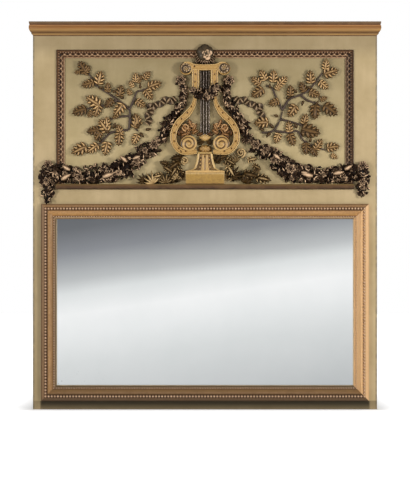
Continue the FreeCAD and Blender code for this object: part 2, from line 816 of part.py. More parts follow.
def band(points, width, tip_width, y, height):
    count = len(points) - 1
    widths = [width + (tip_width - width) * index / count for index in range(count + 1)]
    return prism(band_outline(points, widths, y), y, height)


# A leaf's notches, as shares of its length along and beside the midrib.
LEAF_NOTCHES = ((0.04, 0.06), (0.32, 0.24), (0.64, 0.25), (0.88, 0.12))
LOBE_ROUNDNESS = 0.56


def leaf(base, angle, length, y, height):
    """A lobed leaf that points at an angle from +X, with a round lobe between every two notches."""
    along = Vector(math.cos(math.radians(angle)), 0, math.sin(math.radians(angle)))
    across = Vector(-along.z, 0, along.x)
    origin = spot(base, y)
    tip = origin + along * length
    side_one = [origin + along * (length * a) + across * (length * b) for a, b in LEAF_NOTCHES]
    side_two = [origin + along * (length * a) - across * (length * b) for a, b in LEAF_NOTCHES]
    corners = side_two + [tip] + side_one[::-1]
    middle_line = origin + along * (length / 2)
    edges = [Part.LineSegment(corners[-1], corners[0]).toShape()]
    for start, end in zip(corners, corners[1:]):
        chord = end - start
        radius = LOBE_ROUNDNESS * chord.Length
        sagitta = radius - math.sqrt(radius ** 2 - (chord.Length / 2) ** 2)
        outward = chord.cross(Vector(0, 1, 0)).normalize()
        centre = (start + end) * 0.5
        if (centre + outward).distanceToPoint(middle_line) < centre.distanceToPoint(middle_line):
            outward = outward * -1
        edges.append(Part.Arc(start, centre + outward * sagitta, end).toShape())
    return prism(edges, y, height)


def laid_out(places, side):
    """Places drawn for the left side, spread over the panel as it is, on the given side."""
    return [(-side * spread * x, climb * rise) + tuple(rest) for x, rise, *rest in places]


# A bloom's radius and the step to the next one, as shares of the garland's half-width.
BLOOM_SHARE = 0.84
BLOOM_PITCH = 1.05


def garland(places, y):
    """Blooms packed along a line. A place is (x, rise, half-width of the garland)."""
    shapes = [dome(places[0][:2], BLOOM_SHARE * places[0][2], y)]
    turn = 1
    for start, end in zip(places, places[1:]):
        length = math.hypot(end[0] - start[0], end[1] - start[1])
        steps = max(1, round(2 * length / (BLOOM_PITCH * (start[2] + end[2]))))
        across = (-(end[1] - start[1]) / length, (end[0] - start[0]) / length)
        for step in range(steps):
            share = (step + 1) / steps
            x, rise, half = [a + share * (b - a) for a, b in zip(start, end)]
            radius = BLOOM_SHARE * half
            shift = turn * (half - radius)
            shapes.append(dome((x + across[0] * shift, rise + across[1] * shift), radius, y))
            turn = -turn
    return shapes


def spiral_ridge(place, outer, inner, turns, width, y, height, start, hand):
    """A flat spiral fillet that winds in from the outer radius to the inner."""
    centre = spot(place, y)
    steps = int(12 * turns)
    rims = [[], []]
    for step in range(steps + 1):
        share = step / steps
        angle = math.radians(start + hand * 360 * turns * share)
        radius = outer + (inner - outer) * share
        direction = Vector(math.cos(angle), 0, math.sin(angle))
        rims[0].append(centre + direction * radius)
        rims[1].append(centre + direction * (radius - width))
    curves = []
    for rim in rims:
        curve = Part.BSplineCurve()
        curve.interpolate(rim)
        curves.append(curve.toShape())
    ends = [Part.LineSegment(rims[0][0], rims[1][0]).toShape(),
            Part.LineSegment(rims[0][-1], rims[1][-1]).toShape()]
    outline = Part.Wire(Part.__sortEdges__(curves + ends))
    return Part.Face(outline).extrude(Vector(0, -height, 0))


# ---------------------------------------------------------------- lyre

LYRE_FOOT = add(LEDGE_TOP, "plinth_height", "pedestal_height")
YOKE_FOOT = add(LYRE_FOOT, ARM_RISE)
lyre_foot_rise = size("plinth_height") + size("pedestal_height")
arm_rise = size(ARM_RISE)
arm_stretch = arm_rise / LAYOUT_ARM_RISE


def make_plinth():
    body = new_body("lyre_plinth")
    half = "(plinth_width / 2)"
    sketch = draw(body, "XZ_Plane",
                  rectangle((minus(half), half), (LEDGE_TOP, add(LEDGE_TOP, "plinth_height"))),
                  minus(PANEL_FACE))
    block = pad(body, sketch, "plinth_depth")
    front_edges = []
    for index, edge in enumerate(block.Shape.Edges, start=1):
        if edge.BoundBox.YMax < size(less(PANEL_FACE, "plinth_depth / 2")):
            front_edges.append("Edge%d" % index)
    rounding = body.newObject("PartDesign::Fillet", "plinth_rounding_edges")
    rounding.Base = (block, front_edges)
    rounding.setExpression("Radius", bound("plinth_rounding"))
    doc.recompute()


def make_pedestal():
    """The waisted neck between the plinth and the lyre."""
    body = new_body("lyre_pedestal")
    foot = add(LEDGE_TOP, "plinth_height")
    shoulder = add(foot, "(pedestal_height * 0.06)")
    waist = add(foot, "(pedestal_height * 0.3)")
    wide = "(plinth_width / 2)"
    middle = "(pedestal_foot / 2)"
    neck = "(pedestal_neck / 2)"
    outline = [
        (minus(wide), foot), (wide, foot), (wide, shoulder, 1.2, 1),
        (middle, waist, 1.2, 1), (neck, LYRE_FOOT), (minus(neck), LYRE_FOOT, 1.2, 1),
        (minus(middle), waist, 1.2, 1), (minus(wide), shoulder),
    ]
    sketch = draw(body, "XZ_Plane", outline, minus(PANEL_FACE))
    pad(body, sketch, "pedestal_depth")


def make_band():
    body = new_body("lyre_band")
    half = "(lyre_band_width / 2)"
    add_block(body, (minus(half), half), (less(PANEL_FACE, "lyre_depth"), PANEL_FACE),
              (LYRE_FOOT, add(LYRE_FOOT, "lyre_band_height")))


# An arm's two edges from the yoke to the volute, as shares of the belly and of the arm's rise.
ARM_OUTSIDE = ((0.42, 1.0), (0.42, 0.83), (0.37, 0.71), (0.45, 0.59), (0.70, 0.485), (0.95, 0.39),
               (1.10, 0.275), (1.12, 0.165), (1.02, 0.075), (0.86, 0.012), (0.61, -0.015))
ARM_INSIDE = ((0.19, 1.0), (0.19, 0.83), (0.25, 0.71), (0.30, 0.58), (0.46, 0.465), (0.70, 0.38),
              (0.83, 0.31), (0.89, 0.215), (0.895, 0.145), (0.80, 0.075))


def make_yoke():
    """The cross bar, with a round scroll at each end."""
    scroll_x = size("scroll_offset")
    scroll_rise = lyre_foot_rise + arm_rise + 0.2 * size("lyre_yoke_height")
    bar_foot = lyre_foot_rise + arm_rise
    bar_head = bar_foot + 0.92 * size("lyre_yoke_height")
    dip = bar_foot + 0.62 * size("lyre_yoke_height")
    arm_half = ARM_OUTSIDE[0][0] * size("lyre_belly")
    top = Part.BSplineCurve()
    top.interpolate([spot(place, face) for place in (
        (-scroll_x, bar_head), (-0.6 * scroll_x, 0.5 * (bar_head + dip)), (0, dip),
        (0.6 * scroll_x, 0.5 * (bar_head + dip)), (scroll_x, bar_head))])
    corners = [spot(place, face) for place in (
        (scroll_x, bar_head), (scroll_x, scroll_rise), (arm_half, bar_foot),
        (-arm_half, bar_foot), (-scroll_x, scroll_rise), (-scroll_x, bar_head))]
    edges = [top.toShape()]
    edges += [Part.LineSegment(a, b).toShape() for a, b in zip(corners, corners[1:])]
    depth = size("lyre_depth")
    shapes = [prism(edges, face, depth)]
    for side in (-1, 1):
        shapes.append(Part.makeCylinder(size("scroll_radius"), depth,
                                        spot((side * scroll_x, scroll_rise), face), FORWARD))
    return solid_node("lyre_yoke", fused(shapes))


def make_arm(label, side, yoke):
    """One S-shaped arm, whose foot winds into a volute."""
    belly = size("lyre_belly")
    band_half = size("lyre_band_width") / 2
    outside = [(side * a * belly, lyre_foot_rise + b * arm_rise) for a, b in ARM_OUTSIDE]
    inside = [(side * a * belly, lyre_foot_rise + b * arm_rise) for a, b in ARM_INSIDE]
    outside.append((side * band_half, lyre_foot_rise))
    foot_top = (side * band_half, lyre_foot_rise + size("lyre_band_height"))
    volute = (side * size("volute_offset"), lyre_foot_rise + size("lyre_band_height")
              + size("volute_radius"))
    curves = []
    for places in (outside, inside):
        curve = Part.BSplineCurve()
        curve.interpolate([spot(place, face) for place in places])
        curves.append(curve.toShape())
    corners = [spot(place, face) for place in (outside[-1], foot_top, volute, inside[-1])]
    edges = curves + [Part.LineSegment(a, b).toShape() for a, b in zip(corners, corners[1:])]
    edges.append(Part.LineSegment(spot(outside[0], face), spot(inside[0], face)).toShape())
    depth = size("lyre_depth")
    shapes = [prism(Part.__sortEdges__(edges), face, depth)]
    shapes.append(Part.makeCylinder(size("volute_radius"), depth, spot(volute, face), FORWARD))
    shapes.append(spiral_ridge(volute, size("volute_radius"), size("volute_eye_radius"), 1.6,
                               size("volute_fillet"), face - depth, size("volute_relief"),
                               -90, side))
    shapes.append(Part.makeCylinder(size("volute_eye_radius"), depth + size("volute_relief"),
                                    spot(volute, face), FORWARD))
    return solid_node(label, scribed(fused(shapes), [yoke]))


def make_strings():
    """Round wooden strings in a row, from the tailpiece to the yoke."""
    count = int(size("string_count"))
    first = -size("string_pitch") * (count - 1) / 2
    depth = face - size("lyre_depth") / 2
    length = size(YOKE_FOOT) - size(STRING_FOOT)
    strings = []
    for index in range(count):
        foot = Vector(first + index * size("string_pitch"), depth, size(STRING_FOOT))
        strings.append(Part.makeCylinder(size("string_radius"), length, foot))
    solid_node("lyre_strings", Part.makeCompound(strings))


STRING_FOOT = add(LYRE_FOOT, "lyre_band_height", "(3 * tailpiece_radius)")


def make_tailpiece():
    """A domed mound on the band, a curled collar and a shell that takes the strings."""
    radius = size("tailpiece_radius")
    foot = lyre_foot_rise + size("lyre_band_height")
    height = size("lyre_depth")
    back = face
    mound = [spot(place, back) for place in (
        (-1.05 * radius, foot), (1.05 * radius, foot), (0.85 * radius, foot + 1.1 * radius),
        (-0.85 * radius, foot + 1.1 * radius))]
    mound.append(mound[0])
    edges = [Part.LineSegment(a, b).toShape() for a, b in zip(mound, mound[1:])]
    shapes = [prism(edges, back, 0.8 * height)]
    neck = [spot(place, back) for place in (
        (-0.5 * radius, foot + radius), (0.5 * radius, foot + radius),
        (0.5 * radius, foot + 2.6 * radius), (-0.5 * radius, foot + 2.6 * radius))]
    neck.append(neck[0])
    edges = [Part.LineSegment(a, b).toShape() for a, b in zip(neck, neck[1:])]
    shapes.append(prism(edges, back, 0.7 * height))
    for x in (-0.55, 0.55):
        shapes.append(dome((x * radius, foot + 1.65 * radius), 0.8 * radius, back))
    head = Part.makeCylinder(radius, 0.9 * height, spot((0, foot + 2 * radius), back), FORWARD)
    ceiling = size(STRING_FOOT)
    below = Part.makeBox(2 * reach, 2 * reach, reach, Vector(-reach, -reach, ceiling - reach))
    shapes.append(head)
    solid_node("lyre_tailpiece", fused(shapes).common(below))


make_plinth()
make_pedestal()
make_band()
lyre_yoke = make_yoke()
left_arm = make_arm("lyre_left_arm", -1, lyre_yoke)
right_arm = make_arm("lyre_right_arm", 1, lyre_yoke)
make_strings()
make_tailpiece()


# ---------------------------------------------------------------- garlands and blooms

nodes = {node.Label: node for node in node_objects}
scroll_place = (size("scroll_offset"),
                lyre_foot_rise + arm_rise + 0.2 * size("lyre_yoke_height"))
leaf_inner = size(LEAF_INNER)
leaf_front = face - size("leaf_moulding_thickness")

# The left swag as (share of the way from its start to the panel's moulding, rise, half-width).
SWAG_START = 205
SWAG = ((0.0, 162, 30), (0.12, 140, 36), (0.24, 108, 42), (0.36, 66, 44), (0.48, 48, 40),
        (0.62, 42, 36), (0.78, 38, 34), (0.92, 40, 34), (1.04, 44, 32))
SWAG_ROSE = (0.05, 172, 34)

# Garlands on the left as (x, rise, half-width). The first joins the yoke's scroll to the swag,
# down the outside of the lyre.
SCROLL_DROP = ((-106, 452, 24), (-92, 400, 18), (-104, 356, 22), (-132, 312, 24), (-168, 262, 26),
               (-184, 214, 26), (-196, 190, 28))
STRING_GARLAND = ((-52, 408, 14), (-28, 386, 17), (4, 376, 19), (32, 394, 17), (54, 420, 13))

# The drops on the stiles, as (distance outside the opening, rise, half-width).
LEFT_CORNER_DROP = ((30, 74, 26), (38, 40, 32), (46, 4, 32), (36, -34, 28), (40, -66, 20))
RIGHT_CORNER_DROP = ((28, 80, 24), (22, 42, 26), (34, 6, 26), (28, -30, 24), (40, -64, 16))


def swag_place(side, share, rise, half):
    start = spread * SWAG_START
    return (side * (start + share * (leaf_inner - start)), climb * rise, half)


def panel_side(shape, side):
    """What of a shape lies on one side of the middle, inside the stile and above the ledge."""
    corner = Vector(0 if side > 0 else -half_opening, -reach, ledge_top)
    return shape.common(Part.makeBox(half_opening, 2 * reach, reach, corner))


def make_swag(label, side, moulding):
    """The heavy swag that rests on the ledge and rises to the lyre, with a large rose in it."""
    shapes = garland([swag_place(side, *place) for place in SWAG], face)
    x, rise, radius = swag_place(side, *SWAG_ROSE)
    shapes += rose((x, rise), radius, face, face - radius / 2)
    return solid_node(label, scribed(panel_side(fused(shapes), side), [moulding]))


def make_scroll_drop(label, side, neighbours):
    shapes = garland(laid_out(SCROLL_DROP, side), face)
    return solid_node(label, scribed(fused(shapes), neighbours))


def make_corner_drop(label, side, drop):
    """The end of the garland, which hangs down the stile's face beside the ledge."""
    places = [(side * (half_opening + out), rise, half) for out, rise, half in drop]
    shapes = garland(places, front)
    x, rise, half = places[0]
    shapes += rose((x, rise), half, front, front - half / 2)
    corner = Vector(half_opening if side > 0 else -2 * half_opening, -reach, 0)
    outside = Part.makeBox(half_opening, 2 * reach, 2 * reach, corner)
    solid_node(label, fused(shapes).common(outside))


def make_string_garland():
    """The short garland that crosses the strings, on the faces of both arms."""
    solid_node("string_garland", fused(garland(laid_out(STRING_GARLAND, -1), lyre_face)))


def make_rosette(label, side):
    """The bloom on the eye of one of the yoke's scrolls."""
    place = (side * scroll_place[0], scroll_place[1])
    radius = 0.72 * size("scroll_radius")
    solid_node(label, fused(rose(place, radius, lyre_face, lyre_face)))


def make_crest(yoke):
    """A rose above the yoke, over the panel's moulding, in a collar of leaves."""
    collar_rise = lyre_foot_rise + arm_rise + 1.05 * size("lyre_yoke_height")
    collar = garland(((-44, collar_rise + 8, 14), (0, collar_rise - 8, 15),
                      (44, collar_rise + 8, 14)), face)
    neighbours = [yoke, nodes["leaf_moulding_top"], nodes["top_rail"]]
    collar_node = solid_node("crest_collar", scribed(fused(collar), neighbours))
    bloom_rise = head_rise - size("leaf_moulding_width") / 2 + 8
    bloom = rose((0, bloom_rise), size("crest_rose_radius"), face, leaf_front - 6)
    solid_node("crest_rose", scribed(fused(bloom), neighbours + [collar_node]))


# The sprig inside the lyre as (x, height above the lyre's foot, half-width), and the spray beside
# the pedestal as (distance outside the plinth, rise, half-width), both for the left side.
INNER_SPRIG = ((-56, 136, 12), (-72, 112, 15), (-62, 90, 15), (-92, 90, 12))
FOOT_SPRAY = ((19, 104, 20), (27, 66, 22), (31, 26, 24), (71, 22, 22), (115, 20, 20),
              (161, 24, 22), (201, 16, 16))


def make_inner_sprig(label, side, arm):
    places = [(-side * x, lyre_foot_rise + arm_stretch * height, half)
              for x, height, half in INNER_SPRIG]
    shape = panel_side(fused(garland(places, face)), side)
    return solid_node(label, scribed(shape, [arm]))


def make_foot_spray(label, side, neighbours):
    edge = size("plinth_width") / 2
    places = [(side * (edge + spread * out), rise, half) for out, rise, half in FOOT_SPRAY]
    shape = panel_side(fused(garland(places, face)), side)
    return solid_node(label, scribed(shape, neighbours))


# The crimped ribbon, and the branches: stems and the leaves on them, for the left side.
RIBBON = ((-128, 378), (-150, 362), (-172, 372), (-192, 352), (-207, 352), (-226, 338),
          (-244, 342), (-238, 316), (-254, 300), (-244, 280), (-256, 262))
STEMS = (((-334, 240), (-331, 284), (-334, 329), (-383, 369), (-421, 396), (-470, 428), (-491, 455),
          (-513, 496)),
         ((-333, 325), (-310, 377), (-299, 405), (-272, 413), (-225, 432)),
         ((-331, 290), (-312, 253), (-290, 228)),
         ((-333, 300), (-400, 290), (-450, 262), (-487, 246)),
         ((-336, 238), (-412, 226), (-462, 179), (-520, 150)),
         ((-383, 369), (-440, 346), (-493, 340), (-540, 318)))
# Leaves as (stem, point on the stem, the way the tip points, length). Neighbouring leaves stand
# at different heights, a step apart.
LEAF_STEP = 0.4
LEAF_LEVELS = 5
LEAVES = ((0, 7, 135, 50), (0, 7, 215, 46), (0, 7, 50, 42), (0, 6, 185, 54), (0, 5, 75, 56),
          (0, 4, 100, 46), (0, 3, 70, 56), (0, 5, 245, 44), (1, 1, 10, 48), (1, 2, 120, 56),
          (1, 3, 75, 54), (1, 4, 25, 56), (1, 4, 290, 42), (2, 2, 330, 46), (2, 1, 20, 44),
          (3, 1, 205, 54), (3, 1, 110, 46), (3, 2, 240, 44), (3, 3, 165, 56), (3, 3, 250, 46),
          (4, 1, 100, 46), (4, 1, 280, 54), (4, 2, 270, 54), (4, 3, 165, 62), (4, 3, 240, 54),
          (5, 3, 175, 58), (5, 2, 110, 58), (5, 2, 250, 44), (5, 1, 300, 50), (0, 0, 60, 46))


def make_branch(label, side, neighbours):
    """A branch of stems and lobed leaves, laid on the panel and cut round the garland."""
    stem_width = size("stem_width")
    stems = [laid_out(stem, side) for stem in STEMS]
    shapes = []
    for places in stems:
        shapes.append(band(places, stem_width, 0.6 * stem_width, face, size("stem_relief")))
    for index, (stem, point, angle, length) in enumerate(LEAVES):
        pointing = angle if side < 0 else 180 - angle
        height = size("leaf_relief") + LEAF_STEP * (index % LEAF_LEVELS)
        grown = length * min(spread, climb)
        shapes.append(leaf(stems[stem][point], pointing, grown, face, height))
    return solid_node(label, scribed(fused(shapes), neighbours))


def make_ribbon(label, side, neighbours):
    width = size("ribbon_width")
    shape = band(laid_out(RIBBON, side), width, width, face, size("ribbon_relief"))
    return solid_node(label, scribed(shape, neighbours))


def make_side(word, side, arm):
    """Everything carved on one side of the lyre, each piece scribed to those before it."""
    swag = make_swag("swag_" + word, side, nodes["leaf_moulding_" + word])
    drop = make_scroll_drop("scroll_drop_" + word, side, [swag, arm, lyre_yoke])
    corner = LEFT_CORNER_DROP if side < 0 else RIGHT_CORNER_DROP
    make_corner_drop("corner_drop_" + word, side, corner)
    make_rosette("scroll_rosette_" + word, side)
    make_inner_sprig("inner_sprig_" + word, side, arm)
    make_foot_spray("foot_spray_" + word, side,
                    [swag, arm, nodes["lyre_plinth"], nodes["lyre_pedestal"]])
    ribbon = make_ribbon("ribbon_" + word, side, [drop, swag])
    make_branch("branch_" + word, side, [swag, drop, ribbon])


nodes.update((node.Label, node) for node in node_objects)
make_string_garland()
make_crest(lyre_yoke)
make_side("left", -1, left_arm)
make_side("right", 1, right_arm)


# ---------------------------------------------------------------- hanging plates and screws

def make_hanging_plate(label, sign):
    """A brass keyhole plate: the screw's head goes in at the round hole and hangs in the slot."""
    body = new_body(label)
    middle = "(" + sign + " * " + STILE_MIDDLE + ")"
    span = (less(BACK, "hanger_thickness"), BACK)
    add_block(body, (less(middle, "hanger_width / 2"), add(middle, "hanger_width / 2")), span,
              (less(HANGER_HEIGHT, "hanger_length / 2"), add(HANGER_HEIGHT, "hanger_length / 2")))
    drill(body, [(middle, HANGER_HEIGHT)], "keyhole_radius", span)
    cut_block(body, (less(middle, "keyhole_slot / 2"), add(middle, "keyhole_slot / 2")), span,
              (HANGER_HEIGHT, add(HANGER_HEIGHT, "keyhole_travel")))
    for x, z in screw_centres(middle):
        drill(body, [(x, z)], "(screw_radius + screw_clearance)", span)
    doc.recompute()
    drilled = body.Tip
    rims = []
    for index, edge in enumerate(drilled.Shape.Edges, start=1):
        if is_screw_rim(edge):
            rims.append("Edge%d" % index)
    sink = body.newObject("PartDesign::Chamfer", label + "_countersinks")
    sink.Base = (drilled, rims)
    sink.setExpression("Size", bound("(screw_head_radius - screw_radius)"))
    doc.recompute()


def is_screw_rim(edge):
    """Whether an edge is the rim of a screw hole in the plate's outer face."""
    if not isinstance(edge.Curve, Part.Circle):
        return False
    hole = size("screw_radius") + size("screw_clearance")
    at_back = abs(edge.Curve.Center.y - size(BACK)) < 0.01
    return at_back and abs(edge.Curve.Radius - hole) < 0.01


def make_screws():
    """Four countersunk screws, their heads flush with the plates."""
    radius = size("screw_radius")
    head = size("screw_head_radius")
    sink = head - radius
    length = size("screw_length")
    screws = []
    for sign in ("-1", "1"):
        for x, z in screw_centres("(" + sign + " * " + STILE_MIDDLE + ")"):
            tip = Vector(size(x), size(BACK) - length, size(z))
            root = Vector(size(x), size(BACK) - sink, size(z))
            shank = Part.makeCylinder(radius, length - sink, tip, Vector(0, 1, 0))
            cone = Part.makeCone(radius, head, sink, root, Vector(0, 1, 0))
            screws.append(shank.fuse(cone))
    solid_node("hanger_screws", Part.makeCompound(screws))


make_hanging_plate("hanging_plate_left", "-1")
make_hanging_plate("hanging_plate_right", "1")
make_screws()


# ---------------------------------------------------------------- checks and files

doc.recompute()
for item in doc.Objects:
    if "Invalid" in item.State or "Error" in item.State:
        raise ValueError(item.Label + " failed")
for node in node_objects:
    if node.Shape.isNull() or not node.Shape.isValid() or not node.Shape.Solids:
        raise ValueError(node.Label + " has no valid solid")
os.makedirs("parts", exist_ok=True)
for node in node_objects:
    node.Shape.exportStep("parts/" + node.Label + ".step")
print("%d nodes written" % len(node_objects))
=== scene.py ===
import math
import random

import bpy
from mathutils import Matrix, Vector


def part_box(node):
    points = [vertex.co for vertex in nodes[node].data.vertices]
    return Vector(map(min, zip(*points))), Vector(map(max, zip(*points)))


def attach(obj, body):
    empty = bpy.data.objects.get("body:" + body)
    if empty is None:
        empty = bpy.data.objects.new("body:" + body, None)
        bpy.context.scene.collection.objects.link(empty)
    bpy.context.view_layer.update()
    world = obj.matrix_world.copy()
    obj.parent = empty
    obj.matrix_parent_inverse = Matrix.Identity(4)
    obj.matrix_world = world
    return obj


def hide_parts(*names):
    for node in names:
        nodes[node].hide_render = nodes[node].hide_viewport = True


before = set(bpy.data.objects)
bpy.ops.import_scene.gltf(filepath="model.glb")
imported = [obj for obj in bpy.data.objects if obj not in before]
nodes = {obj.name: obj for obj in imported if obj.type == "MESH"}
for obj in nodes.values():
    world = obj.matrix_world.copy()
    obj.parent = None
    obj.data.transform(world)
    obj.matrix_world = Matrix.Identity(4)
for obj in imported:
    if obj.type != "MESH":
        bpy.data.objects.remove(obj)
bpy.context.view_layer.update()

# Sizes here are in millimetres, in the model's frame: +Z up, the front towards -Y. Places on the
# panel are (x, rise), where rise is the height above the ledge's top.
MM = 0.001
SIDES = (("left", -1), ("right", 1))


def edge_of(node, axis, high):
    """A side of a node's box, in mm."""
    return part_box(node)[1 if high else 0][axis] / MM


PANEL_FACE = edge_of("upper_panel", 1, False)
FRONT = edge_of("left_stile", 1, False)
HALF_OPENING = edge_of("ledge", 0, True)
LEAF_WIDTH = HALF_OPENING - edge_of("leaf_moulding_right", 0, False)
LEDGE_TOP = edge_of("ledge", 2, True)
HALF_BODY = edge_of("right_stile", 0, True)
PANEL_HEAD = edge_of("leaf_moulding_top", 2, True)
FRAME_HALF = edge_of("mirror_frame_top", 0, True)
FRAME_HEAD = edge_of("mirror_frame_top", 2, True)
FRAME_FOOT = edge_of("mirror_frame_bottom", 2, False)
LYRE_FOOT = edge_of("lyre_band", 2, False) - LEDGE_TOP
BAND_TOP = edge_of("lyre_band", 2, True) - LEDGE_TOP
LYRE_FACE = edge_of("lyre_band", 1, False)


# ---------------------------------------------------------------- shading

def colour(code):
    """A linear colour from a six-digit sRGB code."""
    channels = [int(code[i:i + 2], 16) / 255 for i in (0, 2, 4)]
    return [c / 12.92 if c <= 0.04045 else ((c + 0.055) / 1.055) ** 2.4 for c in channels] + [1.0]


class Finish:
    """A procedural material on the object's own coordinates."""

    def __init__(self, name, roughness, metallic=0.0, specular=0.5):
        self.material = bpy.data.materials.new(name)
        self.material.use_nodes = True
        self.tree = self.material.node_tree
        self.shader = self.tree.nodes["Principled BSDF"]
        self.shader.inputs["Metallic"].default_value = metallic
        self.shader.inputs["Roughness"].default_value = roughness
        self.shader.inputs["Specular IOR Level"].default_value = specular
        self.place = self.node("ShaderNodeTexCoord").outputs["Object"]
        split = self.node("ShaderNodeSeparateXYZ", {0: self.place})
        self.x, self.y, self.z = split.outputs

    def node(self, kind, inputs=None, **settings):
        made = self.tree.nodes.new(kind)
        for key, value in settings.items():
            setattr(made, key, value)
        for key, value in (inputs or {}).items():
            self.put(made.inputs[key], value)
        return made

    def put(self, socket, value):
        if isinstance(value, bpy.types.NodeSocket):
            self.tree.links.new(value, socket)
        else:
            socket.default_value = value

    def math(self, operation, value, *others):
        """One operation on a value alone, or on it and each of the others in turn."""
        for other in others or (0.0,):
            value = self.node("ShaderNodeMath", {0: value, 1: other}, operation=operation).outputs[0]
        return value

    def noise(self, scale, detail=4.0, stretch=(1, 1, 1)):
        """Noise from 0 to 1 whose features are about 1 / scale metres across."""
        spread = self.node("ShaderNodeMapping", {0: self.place})
        spread.inputs["Scale"].default_value = stretch
        made = self.node("ShaderNodeTexNoise", {"Vector": spread.outputs[0], "Scale": scale,
                                                "Detail": detail, "Roughness": 0.6})
        return made.outputs["Fac"]

    def ramp(self, value, stops):
        """A colour for each place along value, given as (place, colour code)."""
        made = self.node("ShaderNodeValToRGB", {0: value})
        elements = made.color_ramp.elements
        elements[0].position, elements[0].color = stops[0][0], colour(stops[0][1])
        elements[1].position, elements[1].color = stops[-1][0], colour(stops[-1][1])
        for place, code in stops[1:-1]:
            elements.new(place).color = colour(code)
        return made.outputs[0]

    def level(self, value, low, high, to_low=0.0, to_high=1.0):
        """Value taken from low...high to to_low...to_high, held at the ends."""
        return self.node("ShaderNodeMapRange", {0: value, 1: low, 2: high, 3: to_low, 4: to_high}
                         ).outputs[0]

    def mix(self, share, first, second):
        """Two colours, as sockets or codes, mixed by the second one's share."""
        made = self.node("ShaderNodeMix", {0: share}, data_type="RGBA")
        for index, side in ((6, first), (7, second)):
            self.put(made.inputs[index], colour(side) if isinstance(side, str) else side)
        return made.outputs[2]

    def wash(self, base, code, field, low, high, share):
        """Base with up to a share of a colour, where the field goes from low to high."""
        return self.mix(self.level(field, low, high, 0.0, share), base, code)

    def finish(self, base, height=None, depth=0.4, rough=None):
        """Set the colour, a bump of the given depth in mm and the roughness."""
        self.put(self.shader.inputs["Base Color"], base)
        if height is not None:
            bump = self.node("ShaderNodeBump", {"Height": height, "Strength": 0.6,
                                                "Distance": depth * MM})
            self.put(self.shader.inputs["Normal"], bump.outputs[0])
        if rough is not None:
            self.put(self.shader.inputs["Roughness"], rough)
        return self.material


def behind_strings(look):
    """Painted shade between the lyre's strings and, thinner, towards the panel's head."""
    strings_shade = look.math("MULTIPLY",
                      look.level(look.math("ABSOLUTE", look.x), 18 * MM, 27 * MM, 1.0, 0.0),
                      look.level(look.z, (LEDGE_TOP + 196) * MM, (LEDGE_TOP + 226) * MM), 0.75)
    return look.math("MAXIMUM", strings_shade, look.level(look.z, 1.15, 1.56, 0.0, 0.36))


def painted_carcass_shade(look):
    """Painted shade below the mirror's frame and, thinner, on its left and towards the cornice."""
    side = look.math("ABSOLUTE", look.x)
    below = look.math("MULTIPLY",
                      look.level(look.z, 0.0, (FRAME_FOOT - 14) * MM, 0.68, 0.98),
                      look.level(look.z, (FRAME_FOOT - 3) * MM, (FRAME_FOOT + 3) * MM, 1.0, 0.0),
                      look.level(side, FRAME_HALF * MM, (FRAME_HALF + 8) * MM, 1.0, 0.5))
    above = look.level(look.z, (PANEL_HEAD - 40) * MM, (PANEL_HEAD + 20) * MM, 0.0, 0.26)
    beside = look.math("MULTIPLY",
                       look.level(look.x, -FRAME_HALF * MM, (1 - FRAME_HALF) * MM, 0.22, 0.0),
                       look.level(look.z, 0.85, FRAME_HEAD * MM, 1.0, 0.0))
    return look.math("MAXIMUM", below, above, beside)


WORN_PAINT = "80745C"


def painted_finish(name, light, dark, painted_shade, along=(0.06, 1, 1)):
    """Old matt paint, mottled, brushed, rubbed at the arrises, with painted shade; bare wood behind.
    """
    look = Finish(name, 0.6, specular=0.25)
    mottle = look.noise(9, 5)
    brushed = look.noise(60, 3, (1, 1, 0.06))
    paint = look.mix(look.level(mottle, 0.3, 0.7), dark, light)
    paint = look.wash(paint, dark, brushed, 0.3, 0.75, 0.35)
    side = look.math("ABSOLUTE", look.x)
    rubbed = look.level(side, (HALF_BODY - 9) * MM, (HALF_BODY - 4) * MM)
    patchy = look.level(look.noise(45, 4), 0.35, 0.6, 0.25, 1.0)
    paint = look.mix(look.math("MULTIPLY", rubbed, patchy), paint, WORN_PAINT)
    paint = look.wash(paint, WORN_PAINT, look.noise(260, 2), 0.72, 0.8, 0.6)
    normal = look.node("ShaderNodeTexCoord").outputs["Normal"]
    facing = look.node("ShaderNodeSeparateXYZ", {0: normal}).outputs[1]
    front = look.level(facing, -0.8, -0.6, 1.0, 0.0)
    # Painted shade, in a dark colour, on the front faces only.
    paint = look.mix(look.math("MULTIPLY", painted_shade(look), front), paint, "261D08")
    back = look.level(facing, 0.6, 0.8)
    grain = look.mix(look.level(look.noise(70, 5, along), 0.3, 0.7), "A08460", "7C6040")
    paint = look.mix(back, paint, grain)
    return look.finish(paint, brushed, 0.25, look.level(mottle, 0.3, 0.7, 0.5, 0.68))


def banded_finish(name, across, stops, grain=(0.03, 1, 1), wash="5A3B26", share=0.0):
    """Rubbed gilding over bole, whose colour follows the moulding's section."""
    look = Finish(name, 0.42, specular=0.35)
    base = look.ramp(across(look), stops)
    wear = look.noise(140, 4, grain)
    base = look.wash(base, "5A3B26", wear, 0.4, 0.75, 0.45)
    patches = look.noise(22, 4)
    base = look.wash(base, "8C6840", patches, 0.45, 0.7, 0.3)
    # Painted light and shade for a length of the frame, by its share.
    base = look.mix(share, base, wash)
    return look.finish(base, wear, 0.3, look.level(patches, 0.3, 0.7, 0.34, 0.57))


def carved_finish(name, hollow, middle, high, roughness, turn, specular=0.5, shade=0.0):
    """Patinated carving: dark where the piece's tone is 0 and rubbed light where it is 1."""
    look = Finish(name, roughness, specular=specular)
    tone = look.node("ShaderNodeAttribute", attribute_name="tone").outputs["Fac"]
    speckle = look.noise(170, 4)
    value = look.math("ADD", tone, look.level(speckle, 0.2, 0.8, -0.16, 0.16))
    base = look.ramp(value, ((0.0, hollow), (turn, middle), (1.0, high)))
    base = look.wash(base, middle, look.noise(28, 4), 0.4, 0.7, 0.35)
    # Painted shade, by its share.
    base = look.mix(shade, base, "120A04")
    return look.finish(base, speckle, 0.5, look.level(speckle, 0.3, 0.7, roughness - 0.1,
                                                      roughness + 0.14))


